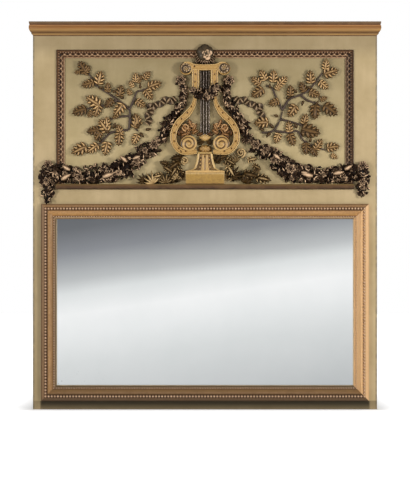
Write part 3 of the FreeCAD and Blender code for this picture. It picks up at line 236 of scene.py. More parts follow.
def timber_finish(name, light, dark, along):
    """Bare timber with its grain along an axis (0 for x, 2 for z)."""
    stretch = [1.0, 1.0, 1.0]
    stretch[along] = 0.05
    look = Finish(name, 0.75)
    grain = look.noise(90, 6, stretch)
    base = look.mix(look.level(grain, 0.3, 0.7), light, dark)
    base = look.wash(base, dark, look.noise(16, 3, stretch), 0.4, 0.65, 0.5)
    return look.finish(base, grain, 0.4)


def metal_finish(name, bright, dull, roughness):
    look = Finish(name, roughness, metallic=1.0)
    haze = look.noise(120, 4)
    base = look.mix(look.level(haze, 0.35, 0.7), bright, dull)
    return look.finish(base, haze, 0.1, look.level(haze, 0.3, 0.7, roughness - 0.08,
                                                   roughness + 0.15))


def string_finish():
    """Grey strings, every other one brighter."""
    look = Finish("string_grey", 0.35, metallic=1.0)
    side = look.math("ABSOLUTE", look.x)
    bright = look.level(look.math("COSINE", look.math("MULTIPLY", side, math.pi / (6 * MM))),
                        -0.6, 0.6, 1.0, 0.0)
    wear = look.noise(120, 3, (1, 1, 0.1))
    base = look.mix(bright, "1A1412", "7A6E66")
    return look.finish(look.wash(base, "2C2420", wear, 0.4, 0.7, 0.5), wear, 0.1)


def glass_finish():
    """Silvered glass with a little foxing low on the left."""
    look = Finish("mirror_glass", 0.02, metallic=1.0)
    foxing = look.math("MULTIPLY", look.level(look.noise(150, 5), 0.66, 0.72),
                       look.level(look.z, 0.12, 0.20, 1.0, 0.0),
                       look.level(look.x, -0.62, -0.35, 1.0, 0.0))
    haze = look.level(look.noise(3, 3), 0.3, 0.7)
    silver = look.mix(haze, "F4F5F5", "EEF0F0")
    return look.finish(look.mix(foxing, silver, "4A4640"), None, 0.0,
                       look.level(foxing, 0.0, 1.0, 0.015, 0.4))


def from_frame_edge(look):
    """The share of the way across the mirror's frame, from its outer edge to the glass."""
    width = (FRAME_HALF - HALF_OPENING) * MM
    side = look.math("SUBTRACT", FRAME_HALF * MM, look.math("ABSOLUTE", look.x))
    low = look.math("SUBTRACT", look.z, FRAME_FOOT * MM)
    high = look.math("SUBTRACT", FRAME_HEAD * MM, look.z)
    return look.math("DIVIDE", look.math("MINIMUM", side, low, high), width)


def up_the(node):
    """A function of a finish that gives the share of the way up a node."""
    low, high = edge_of(node, 2, False), edge_of(node, 2, True)
    return lambda look: look.level(look.z, low * MM, high * MM)


# The rails and stiles take painted shade round the frame; the panel takes painted shade behind the
# strings.
PAINT = painted_finish("rail_paint", "C2AB83", "AE986F", painted_carcass_shade)
STILE_PAINT = painted_finish("stile_paint", "C2AB83", "AE986F", painted_carcass_shade, (1, 1, 0.06))
PANEL_PAINT = painted_finish("panel_paint", "C4AF84", "B09C70", behind_strings)
# Up the cornice: gilding, a painted highlight on the upper torus, painted shade under it and at the
# foot.
CORNICE_GILT = banded_finish("cornice_gilt", up_the("cornice_front"), (
    (0.0, "4A3014"), (0.06, "6A4A24"), (0.12, "B48C50"), (0.2, "52340F"), (0.28, "725026"),
    (0.42, "B08448"), (0.52, "A4743E"), (0.62, "7E4C1A"), (0.7, "BC8850"), (0.74, "96643A"),
    (0.79, "543418"), (0.86, "6A4E34"), (1.0, "786448")))
# Up the ledge: its gilding, with painted shade low down and a painted highlight along its top.
LEDGE_GILT = banded_finish("ledge_gilt", up_the("ledge"), (
    (0.0, "2A1A0A"), (0.3, "442C14"), (0.62, "583C1E"), (0.86, "765A30"), (1.0, "B09A68")))
# Across the frame to the glass: gilding, a painted highlight on the cove, painted shade at the sight
# edge.
FRAME_BANDS = (
    (0.0, "4C3214"), (0.04, "70502E"), (0.1, "96744C"), (0.2, "946E48"), (0.235, "503216"),
    (0.44, "54361A"), (0.47, "9A703C"), (0.55, "D2A26C"), (0.7, "B6884E"), (0.79, "8C622E"),
    (0.81, "3A2410"), (0.86, "54381C"), (0.9, "C0A47C"), (0.95, "A88860"), (0.975, "2C1C0C"),
    (1.0, "1A1008"))
# Painted light and shade per frame length: the right-hand one brightest, the left darker, the foot
# darkest.
FRAME_PAINTED_LIGHT = {"top": ("5A3B26", 0.0), "right": ("F4C48C", 0.62), "left": ("2E1C0A", 0.25),
                "bottom": ("241404", 0.62)}
# The right-hand leaf moulding has painted shade, darker than the other two.
LEAF_GILT, SHADED_LEAF_GILT = (
    carved_finish(name, "160C04", "5E3E22", "DCB68E", 0.42, 0.5, 0.2, shade)
    for name, shade in (("leaf_moulding_gilt", 0.0), ("shaded_leaf_gilt", 0.45)))
BEAD_GILT = carved_finish("bead_gilt", "38220C", "8A6440", "E0BC98", 0.38, 0.5)
GOLD = carved_finish("lyre_gold", "1E1206", "A67C3C", "DEBA7A", 0.42, 0.42)
PLINTH_GOLD = banded_finish("plinth_gold", up_the("lyre_plinth"), (
    (0.0, "7A5A28"), (0.1, "A88442"), (0.8, "B48E48"), (0.92, "CFAE76"), (1.0, "BC9A5C")), (1, 1, 1))
GARLAND = carved_finish("garland_patina", "040100", "321F10", "EAC49C", 0.34, 0.48, 0.08)
SPRAY = carved_finish("spray_patina", "080401", "4C3618", "D8B680", 0.38, 0.48, 0.1)
SPRIG = carved_finish("sprig_patina", "1C0E04", "84582C", "E0B27C", 0.36, 0.42, 0.2)
RIBBON = carved_finish("ribbon_patina", "120B05", "54402A", "D0B088", 0.4, 0.5, 0.2)
BRANCH = carved_finish("branch_gilt", "120A03", "70522C", "E8BE84", 0.4, 0.45, 0.2)
STEM = carved_finish("stem_patina", "0C0806", "241A14", "54443A", 0.4, 0.5, 0.2)
ROSETTE = carved_finish("rosette_patina", "0E0904", "54402A", "DAB88C", 0.36, 0.45, 0.2)
CREST = carved_finish("crest_patina", "120E06", "54432C", "F0C8A0", 0.4, 0.4, 0.2)
STRING = string_finish()
PINE = timber_finish("backboard_pine", "B4946A", "8A6A44", 0)
PEG_OAK = timber_finish("peg_oak", "9C7A50", "6E5232", 2)
IRON = metal_finish("nail_iron", "5A5552", "332F2D", 0.5)
BRASS = metal_finish("plate_brass", "B8985A", "8A7040", 0.4)
STEEL = metal_finish("screw_steel", "B8B6B2", "8A8884", 0.35)
GLASS = glass_finish()


def dress(material, *names):
    """Give kept nodes their finish."""
    for name in names:
        slots = nodes[name].data.materials
        slots.clear()
        slots.append(material)


dress(PAINT, "top_rail", "middle_rail", "bottom_rail")
dress(STILE_PAINT, "left_stile", "right_stile")
dress(PANEL_PAINT, "upper_panel")
dress(CORNICE_GILT, "cornice_front", "cornice_return_left", "cornice_return_right")
dress(LEDGE_GILT, "ledge")
for place, (wash, share) in FRAME_PAINTED_LIGHT.items():
    dress(banded_finish("frame_gilt_" + place, from_frame_edge, FRAME_BANDS, (1, 1, 1), wash, share),
          "mirror_frame_" + place)
dress(GLASS, "mirror_glass")
dress(STRING, "lyre_strings")
dress(PINE, "backboard_1", "backboard_2", "backboard_3")
dress(PEG_OAK, "glazing_blocks", "joint_pegs")
dress(IRON, "backboard_nails")
dress(BRASS, "hanging_plate_left", "hanging_plate_right")
dress(STEEL, "hanger_screws")
for name in ("left_stile", "right_stile", "top_rail", "middle_rail", "bottom_rail"):
    eased = nodes[name].modifiers.new("eased_arris", "BEVEL")
    eased.width = 0.9 * MM
    eased.segments = 2
    eased.limit_method = "ANGLE"


# ---------------------------------------------------------------- carving tools

# Local places are (u, v, w): u to the right, v up and w out of the front.
TO_FRONT = Matrix(((1, 0, 0, 0), (0, 0, -1, 0), (0, 1, 0, 0), (0, 0, 0, 1)))


def pose(x, rise, depth, spin=0.0, lean=0.0, roll=0.0):
    """Local to model: at (x, rise) on the plane y = depth, turned by angles in degrees."""
    made = Matrix.Translation((x, depth, LEDGE_TOP + rise)) @ TO_FRONT
    for angle, axis in ((spin, "Z"), (lean, "X"), (roll, "Y")):
        made = made @ Matrix.Rotation(math.radians(angle), 4, axis)
    return made


def rim_of(grid):
    """What stands round the edge of a grid, row by row, in one loop."""
    return ([row[0] for row in grid] + list(grid[-1][1:]) + [row[-1] for row in grid[-2::-1]]
            + list(grid[0][-2:0:-1]))


def placed(name, data):
    """An object of the data, in the scene."""
    made = bpy.data.objects.new(name, data)
    bpy.context.scene.collection.objects.link(made)
    return made


TUBE_SIDES = 8


class Carving:
    """The closed surfaces of one piece, with a tone from 0 (hollow) to 1 (high) at each point."""

    def __init__(self):
        self.points, self.faces, self.tones = [], [], []
        self.gain = 1.0

    def point(self, place, tone):
        self.points.append(place)
        self.tones.append(tone * self.gain)
        return len(self.points) - 1

    def wall(self, first, second):
        """Faces all the way round between two loops of points."""
        self.faces += zip(first, first[1:] + first[:1], second[1:] + second[:1], second)

    def grid(self, rows, matrix):
        """Faces over rows of (u, v, w, tone)."""
        ids = [[self.point(matrix @ Vector(p[:3]), p[3]) for p in row] for row in rows]
        for first, second in zip(ids, ids[1:]):
            self.faces += zip(first, first[1:], second[1:], second)
        return ids

    def sheet(self, rows, matrix, thickness):
        """A grid of (u, v, w, tone), backed at a thickness behind it and closed at its edges."""
        front = self.grid(rows, matrix)
        back = self.grid([[(u, v, w - thickness, 0.0) for u, v, w, _ in reversed(row)]
                          for row in rows], matrix)
        self.wall(rim_of(front), rim_of([row[::-1] for row in back]))

    def relief(self, rows, matrix):
        """A grid of (u, v, w, tone) with walls down to a flat back."""
        front = rim_of(self.grid(rows, matrix))
        back = [self.point(matrix @ Vector((u, v, 0.0)), 0.0) for u, v, _, _ in rim_of(rows)]
        self.wall(front, back)
        self.faces.append(tuple(back))

    def bar(self, rows, matrix):
        """A solid bar, of which each row of (u, v, w, tone) is a closed cross-section."""
        ids = self.grid(rows, matrix)
        self.faces += [(first[-1], first[0], second[0], second[-1])
                       for first, second in zip(ids, ids[1:])]
        self.faces += [tuple(ids[0]), tuple(reversed(ids[-1]))]

    def disc(self, rings, segments, shape, matrix, base=0.0):
        """A polar mound. shape(t, angle) gives (radius, w, tone) for t from 0 to 1."""
        _, top, top_tone = shape(0.0, 0.0)
        loops = []
        for ring in range(1, rings + 2):
            loop = []
            for step in range(segments):
                angle = 2 * math.pi * step / segments
                radius, w, tone = shape(min(ring / rings, 1.0), angle)
                if ring > rings:
                    w, tone = base, 0.0
                loop.append(self.point(matrix @ Vector((radius * math.cos(angle),
                                                        radius * math.sin(angle), w)), tone))
            loops.append(loop)
        for inner, outer in zip(loops, loops[1:]):
            self.wall(outer, inner)
        for loop, w, tone in ((loops[0], top, top_tone), (loops[-1][::-1], base, 0.0)):
            centre = self.point(matrix @ Vector((0, 0, w)), tone)
            self.faces += [(centre, a, b) for a, b in zip(loop, loop[1:] + loop[:1])]

    def tube(self, places, radii, tone=None):
        """A closed round tube through model places, brightest in front unless given a tone."""
        loops = []
        for index, place in enumerate(places):
            before = places[max(index - 1, 0)]
            after = places[min(index + 1, len(places) - 1)]
            along = (after - before).normalized()
            across = along.cross(Vector((0, 1, 0))).normalized()
            outward = along.cross(across)
            loop = []
            for step in range(TUBE_SIDES):
                angle = 2 * math.pi * step / TUBE_SIDES
                offset = across * math.cos(angle) + outward * math.sin(angle)
                shade = 0.5 - 0.5 * offset.y if tone is None else tone
                loop.append(self.point(place + offset * radii[index], shade))
            loops.append(loop)
        for first, second in zip(loops, loops[1:]):
            self.wall(first, second)
        self.faces += [tuple(reversed(loops[0])), tuple(loops[-1])]

    def make(self, name, material, slot, *replaced):
        """The piece as an object in metres that rides on the root body."""
        mesh = bpy.data.meshes.new(name)
        mesh.from_pydata([p * MM for p in self.points], [], self.faces)
        tone = mesh.attributes.new("tone", "FLOAT", "POINT")
        tone.data.foreach_set("value", self.tones)
        mesh.polygons.foreach_set("use_smooth", [True] * len(mesh.polygons))
        mesh.materials.append(material)
        mesh.validate()
        mesh.update()
        made = placed(name, mesh)
        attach(made, "root")
        if replaced:
            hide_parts(*replaced)


def smooth_line(points, count):
    """A line of count + 1 points on a smooth curve through the given tuples, end to end."""
    made = []
    spans = len(points) - 1
    for step in range(count + 1):
        place = min(step / count * spans, spans - 1e-9)
        index = int(place)
        t = place - index
        quad = [points[max(min(index + k, spans), 0)] for k in (-1, 0, 1, 2)]
        made.append(tuple(
            0.5 * (2 * b + (c - a) * t + (2 * a - 5 * b + 4 * c - d) * t * t
                   + (3 * b - a - 3 * c + d) * t ** 3)
            for a, b, c, d in zip(*quad)))
    return made


def even_line(points, step):
    """The smooth curve through the tuples, in steps of about the given length in x and rise."""
    fine = smooth_line(points, 40 * (len(points) - 1))
    made = [fine[0]]
    gone = 0.0
    for before, after in zip(fine, fine[1:]):
        gone += math.dist(before[:2], after[:2])
        if gone >= step:
            made.append(after)
            gone = 0.0
    return made


def heading_at(line, index):
    """The way that a line runs at one of its points, in radians."""
    before, after = line[max(index - 1, 0)], line[min(index + 1, len(line) - 1)]
    return math.atan2(after[1] - before[1], after[0] - before[0])


# ---------------------------------------------------------------- blooms and leaves

def bloom(carving, place, radius, petals=5, turn=0.0, high=0.7):
    """A rose: three tiers of round petals about a bud."""
    for tier, (share, foot, head) in enumerate(((1.0, 0.0, 0.5), (0.72, 0.25, 0.8),
                                                (0.42, 0.5, 1.0))):
        size = radius * share
        phase = turn + tier * math.pi / petals

        def petal(t, angle):
            wave = abs(math.cos(petals * (angle + phase) / 2))
            lip = 0.72 + 0.28 * wave ** 0.6
            w = radius * high * (foot + (head - foot) * (0.55 + 0.45 * math.sin(math.pi * t * 0.82)))
            w -= radius * 0.16 * (1 - wave) * t
            tone = 0.1 + 0.9 * wave * max(0.0, t - 0.35) / 0.65
            if t > 0.95:
                w -= radius * 0.12
                tone *= 0.7
            return size * t * lip, w, min(tone, 1.0)

        carving.disc(5, 5 * petals, petal, place)


def bud(carving, place, radius):
    """A small bud with a cleft."""
    def swell(t, angle):
        cleft = 0.15 * math.cos(3 * angle)
        w = 1.1 * radius * math.sqrt(max(1 - t * t, 0)) * (0.85 + cleft * t)
        return radius * t, w, 0.95 - 0.75 * t + cleft

    carving.disc(4, 9, swell, place)


def blade(carving, place, length, width, curl=0.3, thickness=1.6, rows=5, dark=0.1, point=0.8):
    """A plain leaf with a bright ridge and dark edges, whose tip curls back."""
    grid = []
    for i in range(rows + 1):
        t = i / rows
        half = max(0.5 * width * math.sin(math.pi * (0.1 + 0.9 * t) ** 0.8) ** point, 0.03 * width)
        arch = curl * length * (math.sin(math.pi * 0.8 * t) - 0.45 * t * t)
        grid.append([(s * half, t * length, arch + 0.3 * width * (1 - s * s),
                      dark + (1 - dark) * (1 - abs(s)) ** 1.4 * (0.6 + 0.4 * math.sin(math.pi * t)))
                     for s in (-1.0, -0.6, -0.25, 0.0, 0.25, 0.6, 1.0)])
    carving.sheet(grid, place, thickness)


LOBES = ((0.06, 70, 0.44), (0.24, 58, 0.50), (0.44, 46, 0.46), (0.62, 34, 0.36))


def lobed_leaf(carving, place, length, spread=0.9, curl=0.12):
    """A leaf of one middle lobe and pairs of rounded side lobes, each with its own ridge."""
    shade = carving.gain
    carving.gain = 0.8 * shade
    blade(carving, place, length, 0.34 * length, curl, 2.0, 7, 0.0, 0.55)
    carving.gain = shade
    for start, angle, share in LOBES:
        reach = spread * length * share
        for hand in (-1, 1):
            turn = Matrix.Rotation(math.radians(-hand * angle), 4, "Z")
            at = Matrix.Translation((0, start * length, 1.5 - 2 * start))
            blade(carving, place @ at @ turn, reach, 0.56 * reach, curl * 1.4, 2.0, 5, 0.0, 0.5)


FAN_WIDTH = 0.26


def fan(carving, place, length, blades, spread):
    """Blades that spread from one foot, the middle one longest."""
    for index in range(blades):
        share = 2 * index / (blades - 1) - 1
        turn = Matrix.Rotation(math.radians(-share * spread), 4, "Z")
        blade(carving, place @ turn, length * (1 - 0.25 * share * share), FAN_WIDTH * length, 0.32)


def curl_of(carving, x, rise, depth, radius, turns, hand, thickness):
    """A tendril that winds inwards from the bottom, as a tapered tube."""
    steps = int(18 * turns)
    places, radii = [], []
    for step in range(steps + 1):
        t = step / steps
        angle = -math.pi / 2 + hand * 2 * math.pi * turns * t
        reach = (radius - thickness) * (1 - 0.72 * t)
        places.append(Vector((x + reach * math.cos(angle), depth - thickness - 6 * t,
                              LEDGE_TOP + rise + reach * math.sin(angle))))
        radii.append(thickness * (1 - 0.45 * t))
    carving.tube(places, radii)
    bud(carving, pose(x, rise, depth - 6), radius * 0.3)


CORE_SHARE = 0.42
FLATTEN = 0.8
# How far the things in a garland are rubbed, from dark to bright.
GAINS = (0.2, 0.45, 0.8, 1.1, 1.5)
# A draw from 0 to 1 makes a bloom up to the first of these, a bud up to the second or else a leaf.
BLOOMS_TO = 0.36
BUDS_TO = 0.5
# How far round the core they sit, in degrees either way, and how far off their places, in mm.
ROUND_ANGLE = 78
JITTER = 3


def garland(carving, path, depth, seed, size=11.0, packing=1.5):
    """Blooms, buds and leaves packed all over a dark core, along (x, rise, half) places."""
    draw = random.Random(seed)
    line = even_line(path, 5)
    places = [Vector((x, depth - 0.3 * half, LEDGE_TOP + rise)) for x, rise, half in line]
    carving.tube(places, [CORE_SHARE * half for _, _, half in line], 0.03)
    for index, (x, rise, half) in enumerate(line):
        heading = heading_at(line, index)
        count = packing * half / 15 + draw.random()
        for _ in range(int(count)):
            round_angle = draw.uniform(-ROUND_ANGLE, ROUND_ANGLE)
            offset = (half - 0.55 * size) * math.sin(math.radians(round_angle))
            lift = (half - 0.5 * size) * FLATTEN * math.cos(math.radians(round_angle))
            place = (pose(x + draw.uniform(-JITTER, JITTER), rise + draw.uniform(-JITTER, JITTER),
                          depth - lift) @ Matrix.Rotation(heading, 4, "Z")
                     @ Matrix.Translation((0, offset, 0))
                     @ Matrix.Rotation(math.radians(-0.7 * round_angle), 4, "X")
                     @ Matrix.Rotation(draw.uniform(0, 2 * math.pi), 4, "Z"))
            kind = draw.random()
            carving.gain = draw.choice(GAINS)
            if kind < BLOOMS_TO:
                bloom(carving, place, size * draw.uniform(0.8, 1.3), 5, 0.0, 0.62)
            elif kind < BUDS_TO:
                bud(carving, place, size * draw.uniform(0.4, 0.65))
            else:
                blade(carving, place, size * draw.uniform(1.5, 2.4), size * draw.uniform(0.8, 1.2),
                      draw.uniform(0.25, 0.5), 1.6, 5, 0.0)
    carving.gain = 1.0


# ---------------------------------------------------------------- mouldings

def straight(start, end):
    """The length and the direction of a straight run."""
    length = math.dist(start, end)
    return length, ((end[0] - start[0]) / length, (end[1] - start[1]) / length)


# The pearls and the reeds of the inner strip, as (inset from the frame's outer edge, depth behind
# the carcass's front, pitch, half-length, half-width, height).
BEAD_ROWS = ((21.0, 19.0, 13.4, 5.7, 5.7, 5.4), (56.0, 11.0, 11.0, 4.3, 2.6, 2.6))


def make_beads():
    """The pearls round the mirror's frame and the short reeds of its inner strip."""
    carving = Carving()
    for inset, bed, pitch, long, wide, high in BEAD_ROWS:
        def dome(t, angle):
            radius = math.hypot(long * math.cos(angle), wide * math.sin(angle)) * t
            return radius, high * math.sqrt(max(1 - t * t, 0)), 1.0 - 0.8 * t * t

        half, low, top = FRAME_HALF - inset, FRAME_FOOT + inset, FRAME_HEAD - inset
        corners = [(-half, low), (half, low), (half, top), (-half, top), (-half, low)]
        for start, end in zip(corners, corners[1:]):
            length, (run_x, run_z) = straight(start, end)
            spin = math.degrees(math.atan2(run_z, run_x))
            count = round(length / pitch)
            for index in range(count):
                along = index * length / count
                place = pose(start[0] + run_x * along, start[1] + run_z * along - LEDGE_TOP,
                             FRONT - bed, spin)
                carving.disc(4, 12, dome, place, -1.0)
    carving.make("frame_beads", BEAD_GILT, "gilt_moulding")


LEAF_PITCH = 24.0
LEAF_STEP = 1.6
LEAF_COLUMNS = 22
# High and hollow places of one carved leaf: (side, share, reach, lift in mm). Side goes from 0 at
# the leaf's middle to 1 between two leaves, and share from the outer edge to the inner one.
LEAF_SPOTS = ((0.0, 0.62, 0.16, 2.6), (0.42, 0.30, 0.17, 2.2), (0.50, 0.72, 0.15, 1.8),
              (1.0, 0.82, 0.13, 2.4), (0.16, 0.30, 0.12, -3.0), (0.78, 0.50, 0.15, -5.0),
              (0.26, 0.86, 0.10, -2.5))
# The carving lies between these distances from the moulding's outer edge, and plain fillets of
# these heights off the panel border it.
CARVED_FROM = 4.2
CARVED_TO = 31.5
OUTER_FILLET = 14.0
INNER_FILLET = 5.2


def leaf_relief(along, across):
    """The carved section at a distance from the outer edge: height in front of the panel, tone."""
    if across < CARVED_FROM:
        # The outer fillet is toned dark, as painted shade along the recess's wall.
        return OUTER_FILLET, 0.12
    if across > CARVED_TO:
        return INNER_FILLET, 0.75
    share = (across - CARVED_FROM) / (CARVED_TO - CARVED_FROM)
    side = abs((along / LEAF_PITCH) % 1.0 - 0.5) * 2
    height = 0.0
    for spot_side, spot_share, reach, lift in LEAF_SPOTS:
        away = ((side - spot_side) * 0.5) ** 2 + (share - spot_share) ** 2
        height += lift * math.exp(-away / reach ** 2 * 1.6)
    return 13.5 - 7.5 * share + height, min(max(0.38 + 0.24 * height, 0.0), 1.0)


def make_leaf_moulding(name, start, end, inward, mitre_start, mitre_end):
    """A length of carved leaf moulding. start and end are the ends of its outer edge."""
    carving = Carving()
    length, direction = straight(start, end)
    pitches = max(1, round(length / LEAF_PITCH))
    steps = pitches * round(LEAF_PITCH / LEAF_STEP)
    rows = []
    for i in range(steps + 1):
        row = []
        for j in range(LEAF_COLUMNS + 1):
            across = LEAF_WIDTH * j / LEAF_COLUMNS
            first = across if mitre_start else 0.0
            last = length - (across if mitre_end else 0.0)
            along = first + (last - first) * i / steps
            height, tone = leaf_relief(along * pitches * LEAF_PITCH / length, across)
            if j in (0, LEAF_COLUMNS):
                height -= 0.8
            x = start[0] + direction[0] * along + inward[0] * across
            rise = start[1] + direction[1] * along + inward[1] * across - LEDGE_TOP
            row.append((x, rise, height, tone))
        rows.append(row)
    carving.relief(rows, pose(0, 0, PANEL_FACE))
    gilt = SHADED_LEAF_GILT if name.endswith("right") else LEAF_GILT
    carving.make("carved_" + name, gilt, "leaf_moulding_wood", name)


make_beads()
make_leaf_moulding("leaf_moulding_top", (-HALF_OPENING, PANEL_HEAD), (HALF_OPENING, PANEL_HEAD),
                   (0, -1), True, True)
for word, side in SIDES:
    make_leaf_moulding("leaf_moulding_" + word, (side * HALF_OPENING, LEDGE_TOP),
                       (side * HALF_OPENING, PANEL_HEAD), (-side, 0), False, True)


# ---------------------------------------------------------------- lyre

LYRE_DEPTH = PANEL_FACE - LYRE_FACE
BELLY = 136.0
ARM_RISE = edge_of("lyre_strings", 2, True) - LEDGE_TOP - LYRE_FOOT
ARM_OUTSIDE = ((0.42, 1.0), (0.42, 0.83), (0.37, 0.71), (0.45, 0.59), (0.70, 0.485), (0.95, 0.39),
               (1.10, 0.275), (1.12, 0.165), (1.02, 0.075), (0.86, 0.012), (0.61, -0.015),
               (0.26, 0.0))
ARM_INSIDE = ((0.19, 1.0), (0.19, 0.83), (0.25, 0.71), (0.30, 0.58), (0.46, 0.465), (0.70, 0.38),
              (0.86, 0.30), (0.92, 0.215), (0.90, 0.145), (0.80, 0.09), (0.56, 0.05), (0.26, 0.05))
VOLUTE = (71.0, 176.0, 36.0)
SCROLL = (83.0, 506.0, 28.0)
# The small drilled holes down each arm, as (x, rise) on the right.
HOLES = ((46, 515), (42, 481), (44, 448), (60, 339), (77, 312), (103, 285), (125, 259),
         (135, 224), (135, 187), (115, 156), (84, 144))
HOLE_RADIUS = 4.2
HOLE_DEPTH = 6.0
EDGE_BEAD = 0.16


def drilled(x, rise, side):
    """How far into a drilled hole a place on the lyre is, from 0 to 1."""
    nearest = min(math.hypot(x - side * a, rise - b) for a, b in HOLES)
    return max(0.0, min(1.0, 1.35 - nearest / HOLE_RADIUS))


def band_section(share):
    """The lyre's flat band with a thin raised edge: height above the face, tone."""
    near = min(share, 1 - share)
    if near <= 0.0:
        return -1.6, 0.5
    if near < EDGE_BEAD:
        return 2.2 * math.sin(math.pi * near / EDGE_BEAD), 0.95
    if near < EDGE_BEAD * 1.5:
        return -1.2, 0.18
    return 0.6 * math.sin(math.pi * share), 0.58


def banded_relief(carving, outside, inside, side, columns=24):
    """A carved band between two edges in the front view, from the panel to the lyre's face."""
    rows = []
    for (x1, r1), (x2, r2) in zip(outside, inside):
        row = [(x1, r1, -LYRE_DEPTH, 0.0)]
        for j in range(columns + 1):
            share = j / columns
            x, rise = x1 + (x2 - x1) * share, r1 + (r2 - r1) * share
            w, tone = band_section(share)
            pit = drilled(x, rise, side)
            row.append((x, rise, w - HOLE_DEPTH * pit, tone * (1 - pit)))
        row.append((x2, r2, -LYRE_DEPTH, 0.0))
        rows.append(row)
    carving.bar(rows, pose(0, 0, LYRE_FACE))


SCROLL_RELIEF = 4.5


def spiral_disc(carving, x, rise, radius, hand, turns, eye, start):
    """A scroll: a round drum whose face winds inwards, by turns from the angle start, to an eye."""
    def wound(t, angle):
        r = radius * t
        if r < eye:
            dome = math.sqrt(max(1 - (r / eye) ** 2, 0))
            return r, SCROLL_RELIEF * (0.4 + 0.9 * dome), 0.3 + 0.35 * dome
        phase = ((radius - r) / (radius - eye) * turns + hand * (angle - start) / (2 * math.pi)) % 1.0
        ridge = math.sin(math.pi * phase) ** 1.1
        w = SCROLL_RELIEF * (1.05 * ridge - 0.35) * (0.75 + 0.25 * t)
        if t > 0.97:
            w -= 1.5
        return r, w, (0.12 + 0.62 * ridge) * (0.2 if phase < 0.18 or phase > 0.86 else 1.0)

    carving.disc(30, 64, wound, pose(x, rise, LYRE_FACE), -LYRE_DEPTH)


def make_arm(label, side):
    carving = Carving()
    edges = [smooth_line([(side * a * BELLY, LYRE_FOOT + b * ARM_RISE) for a, b in edge], 220)
             for edge in (ARM_OUTSIDE, ARM_INSIDE)]
    banded_relief(carving, *edges, side)
    x, rise, radius = VOLUTE
    spiral_disc(carving, side * x, rise, radius, -side, 1.7, 9.0, -math.pi / 2)
    carving.make("carved_" + label, GOLD, "gold_wood", label)


# The right halves of the yoke's edges, as (x, rise).
YOKE_TOP = ((0, 523), (22, 523.5), (48, 526), (70, 535), (92, 534))
YOKE_FOOT = ((0, 498), (20, 498), (40, 497), (60, 500), (80, 506))


def make_yoke():
    """The cross bar that dips in the middle, with its end scrolls."""
    carving = Carving()
    edges = [smooth_line([(-x, rise) for x, rise in reversed(half[1:])] + list(half), 120)
             for half in (YOKE_TOP, YOKE_FOOT)]
    banded_relief(carving, *edges, -1, 16)
    x, rise, radius = SCROLL
    for side in (-1, 1):
        spiral_disc(carving, side * x, rise, radius, side, 1.2, 12.0, math.pi / 2)
    carving.make("carved_lyre_yoke", GOLD, "gold_wood", "lyre_yoke")


# The pedestal's outline as (half-width, height).
NECK = ((86, 0), (84, 7), (64, 11), (48, 20), (43, 34), (38, 52), (35, 68), (34, 80), (34, 82))


NECK_ROLL = 9.0


def neck_relief(x, up, half):
    """The neck's face, as height and tone: rolled edges, a ridged tongue, bosses and one hole."""
    across = abs(x)
    tongue = 14 + 7 * max(0.0, 1 - up / 70) ** 2
    strip = half - NECK_ROLL
    if math.hypot(x, up - 70) < 4:
        return -1.0, 0.0
    if up < 9:
        return -1.0, 0.9
    if across > strip:
        return 1.5 - 6 * ((across - strip) / NECK_ROLL) ** 2, 1.0
    if across < tongue and up < 78:
        dome = math.sqrt(max(1 - (across / tongue) ** 2, 0))
        return (1.5, 0.15) if across < 2.5 else (1.0 + 4.0 * dome, 0.3 + 0.45 * dome)
    if math.hypot(across - tongue - 4, (up % 16) - 8) < 3:
        return -1.0, 0.7
    return -4.0, 0.1


def make_pedestal():
    """The waisted neck, carved with a central tongue and side flutes."""
    carving = Carving()
    foot = edge_of("lyre_pedestal", 2, False) - LEDGE_TOP
    depth = PANEL_FACE - edge_of("lyre_pedestal", 1, False)
    rows = []
    for half, up in smooth_line(NECK, 60):
        across = [(j / 24 - 1) * half for j in range(49)]
        rows.append([(-half, up, -depth, 0.0)] + [(x, up, *neck_relief(x, up, half)) for x in across]
                    + [(half, up, -depth, 0.0)])
    carving.bar(rows, pose(0, foot, PANEL_FACE - depth))
    carving.make("carved_lyre_pedestal", GOLD, "gold_wood", "lyre_pedestal")


def make_tailpiece():
    """A gadrooned mound, two dark curls and a shell that takes the strings."""
    def gadroon(t, angle):
        flute = abs(math.cos(4.5 * angle))
        w = 20 * math.sqrt(max(1 - (t * 0.94) ** 2, 0)) - 3 * (1 - flute) * t
        return 30 * t * (0.92 + 0.08 * flute), w, 0.35 + 0.4 * flute - 0.3 * t

    def shell(t, angle):
        rib = abs(math.cos(5 * (angle - math.pi / 2)))
        upper = 1.0 if math.sin(angle) > -0.2 else 0.75
        w = 25 * math.sqrt(max(1 - (0.9 * t) ** 2, 0)) - 3.5 * (1 - rib) * t
        return 26 * t * upper * (0.9 + 0.1 * rib), w, 0.55 + 0.45 * rib - 0.15 * t

    mound = Carving()
    for shape, segments, rise, squash in ((gadroon, 54, 14, 0.6), (shell, 60, 62, 0.72)):
        place = pose(0, BAND_TOP + rise, PANEL_FACE) @ Matrix.Diagonal((1.0, squash, 1.0, 1.0))
        mound.disc(8, segments, shape, place)
    curls = Carving()
    curls.gain = 0.45
    for side in (-1, 1):
        curl_of(curls, side * 13, BAND_TOP + 43, PANEL_FACE - 6, 13, 1.3, side, 3.6)
        fan(curls, pose(side * 14, BAND_TOP + 40, PANEL_FACE - 6, -side * 60), 26, 5, 60)
    curls.make("carved_lyre_curls", SPRAY, "gold_wood")
    mound.make("carved_lyre_tailpiece", GOLD, "gold_wood", "lyre_tailpiece")


make_arm("lyre_left_arm", -1)
make_arm("lyre_right_arm", 1)
make_yoke()
make_pedestal()
make_tailpiece()
dress(PLINTH_GOLD, "lyre_plinth", "lyre_band")


# ---------------------------------------------------------------- garlands

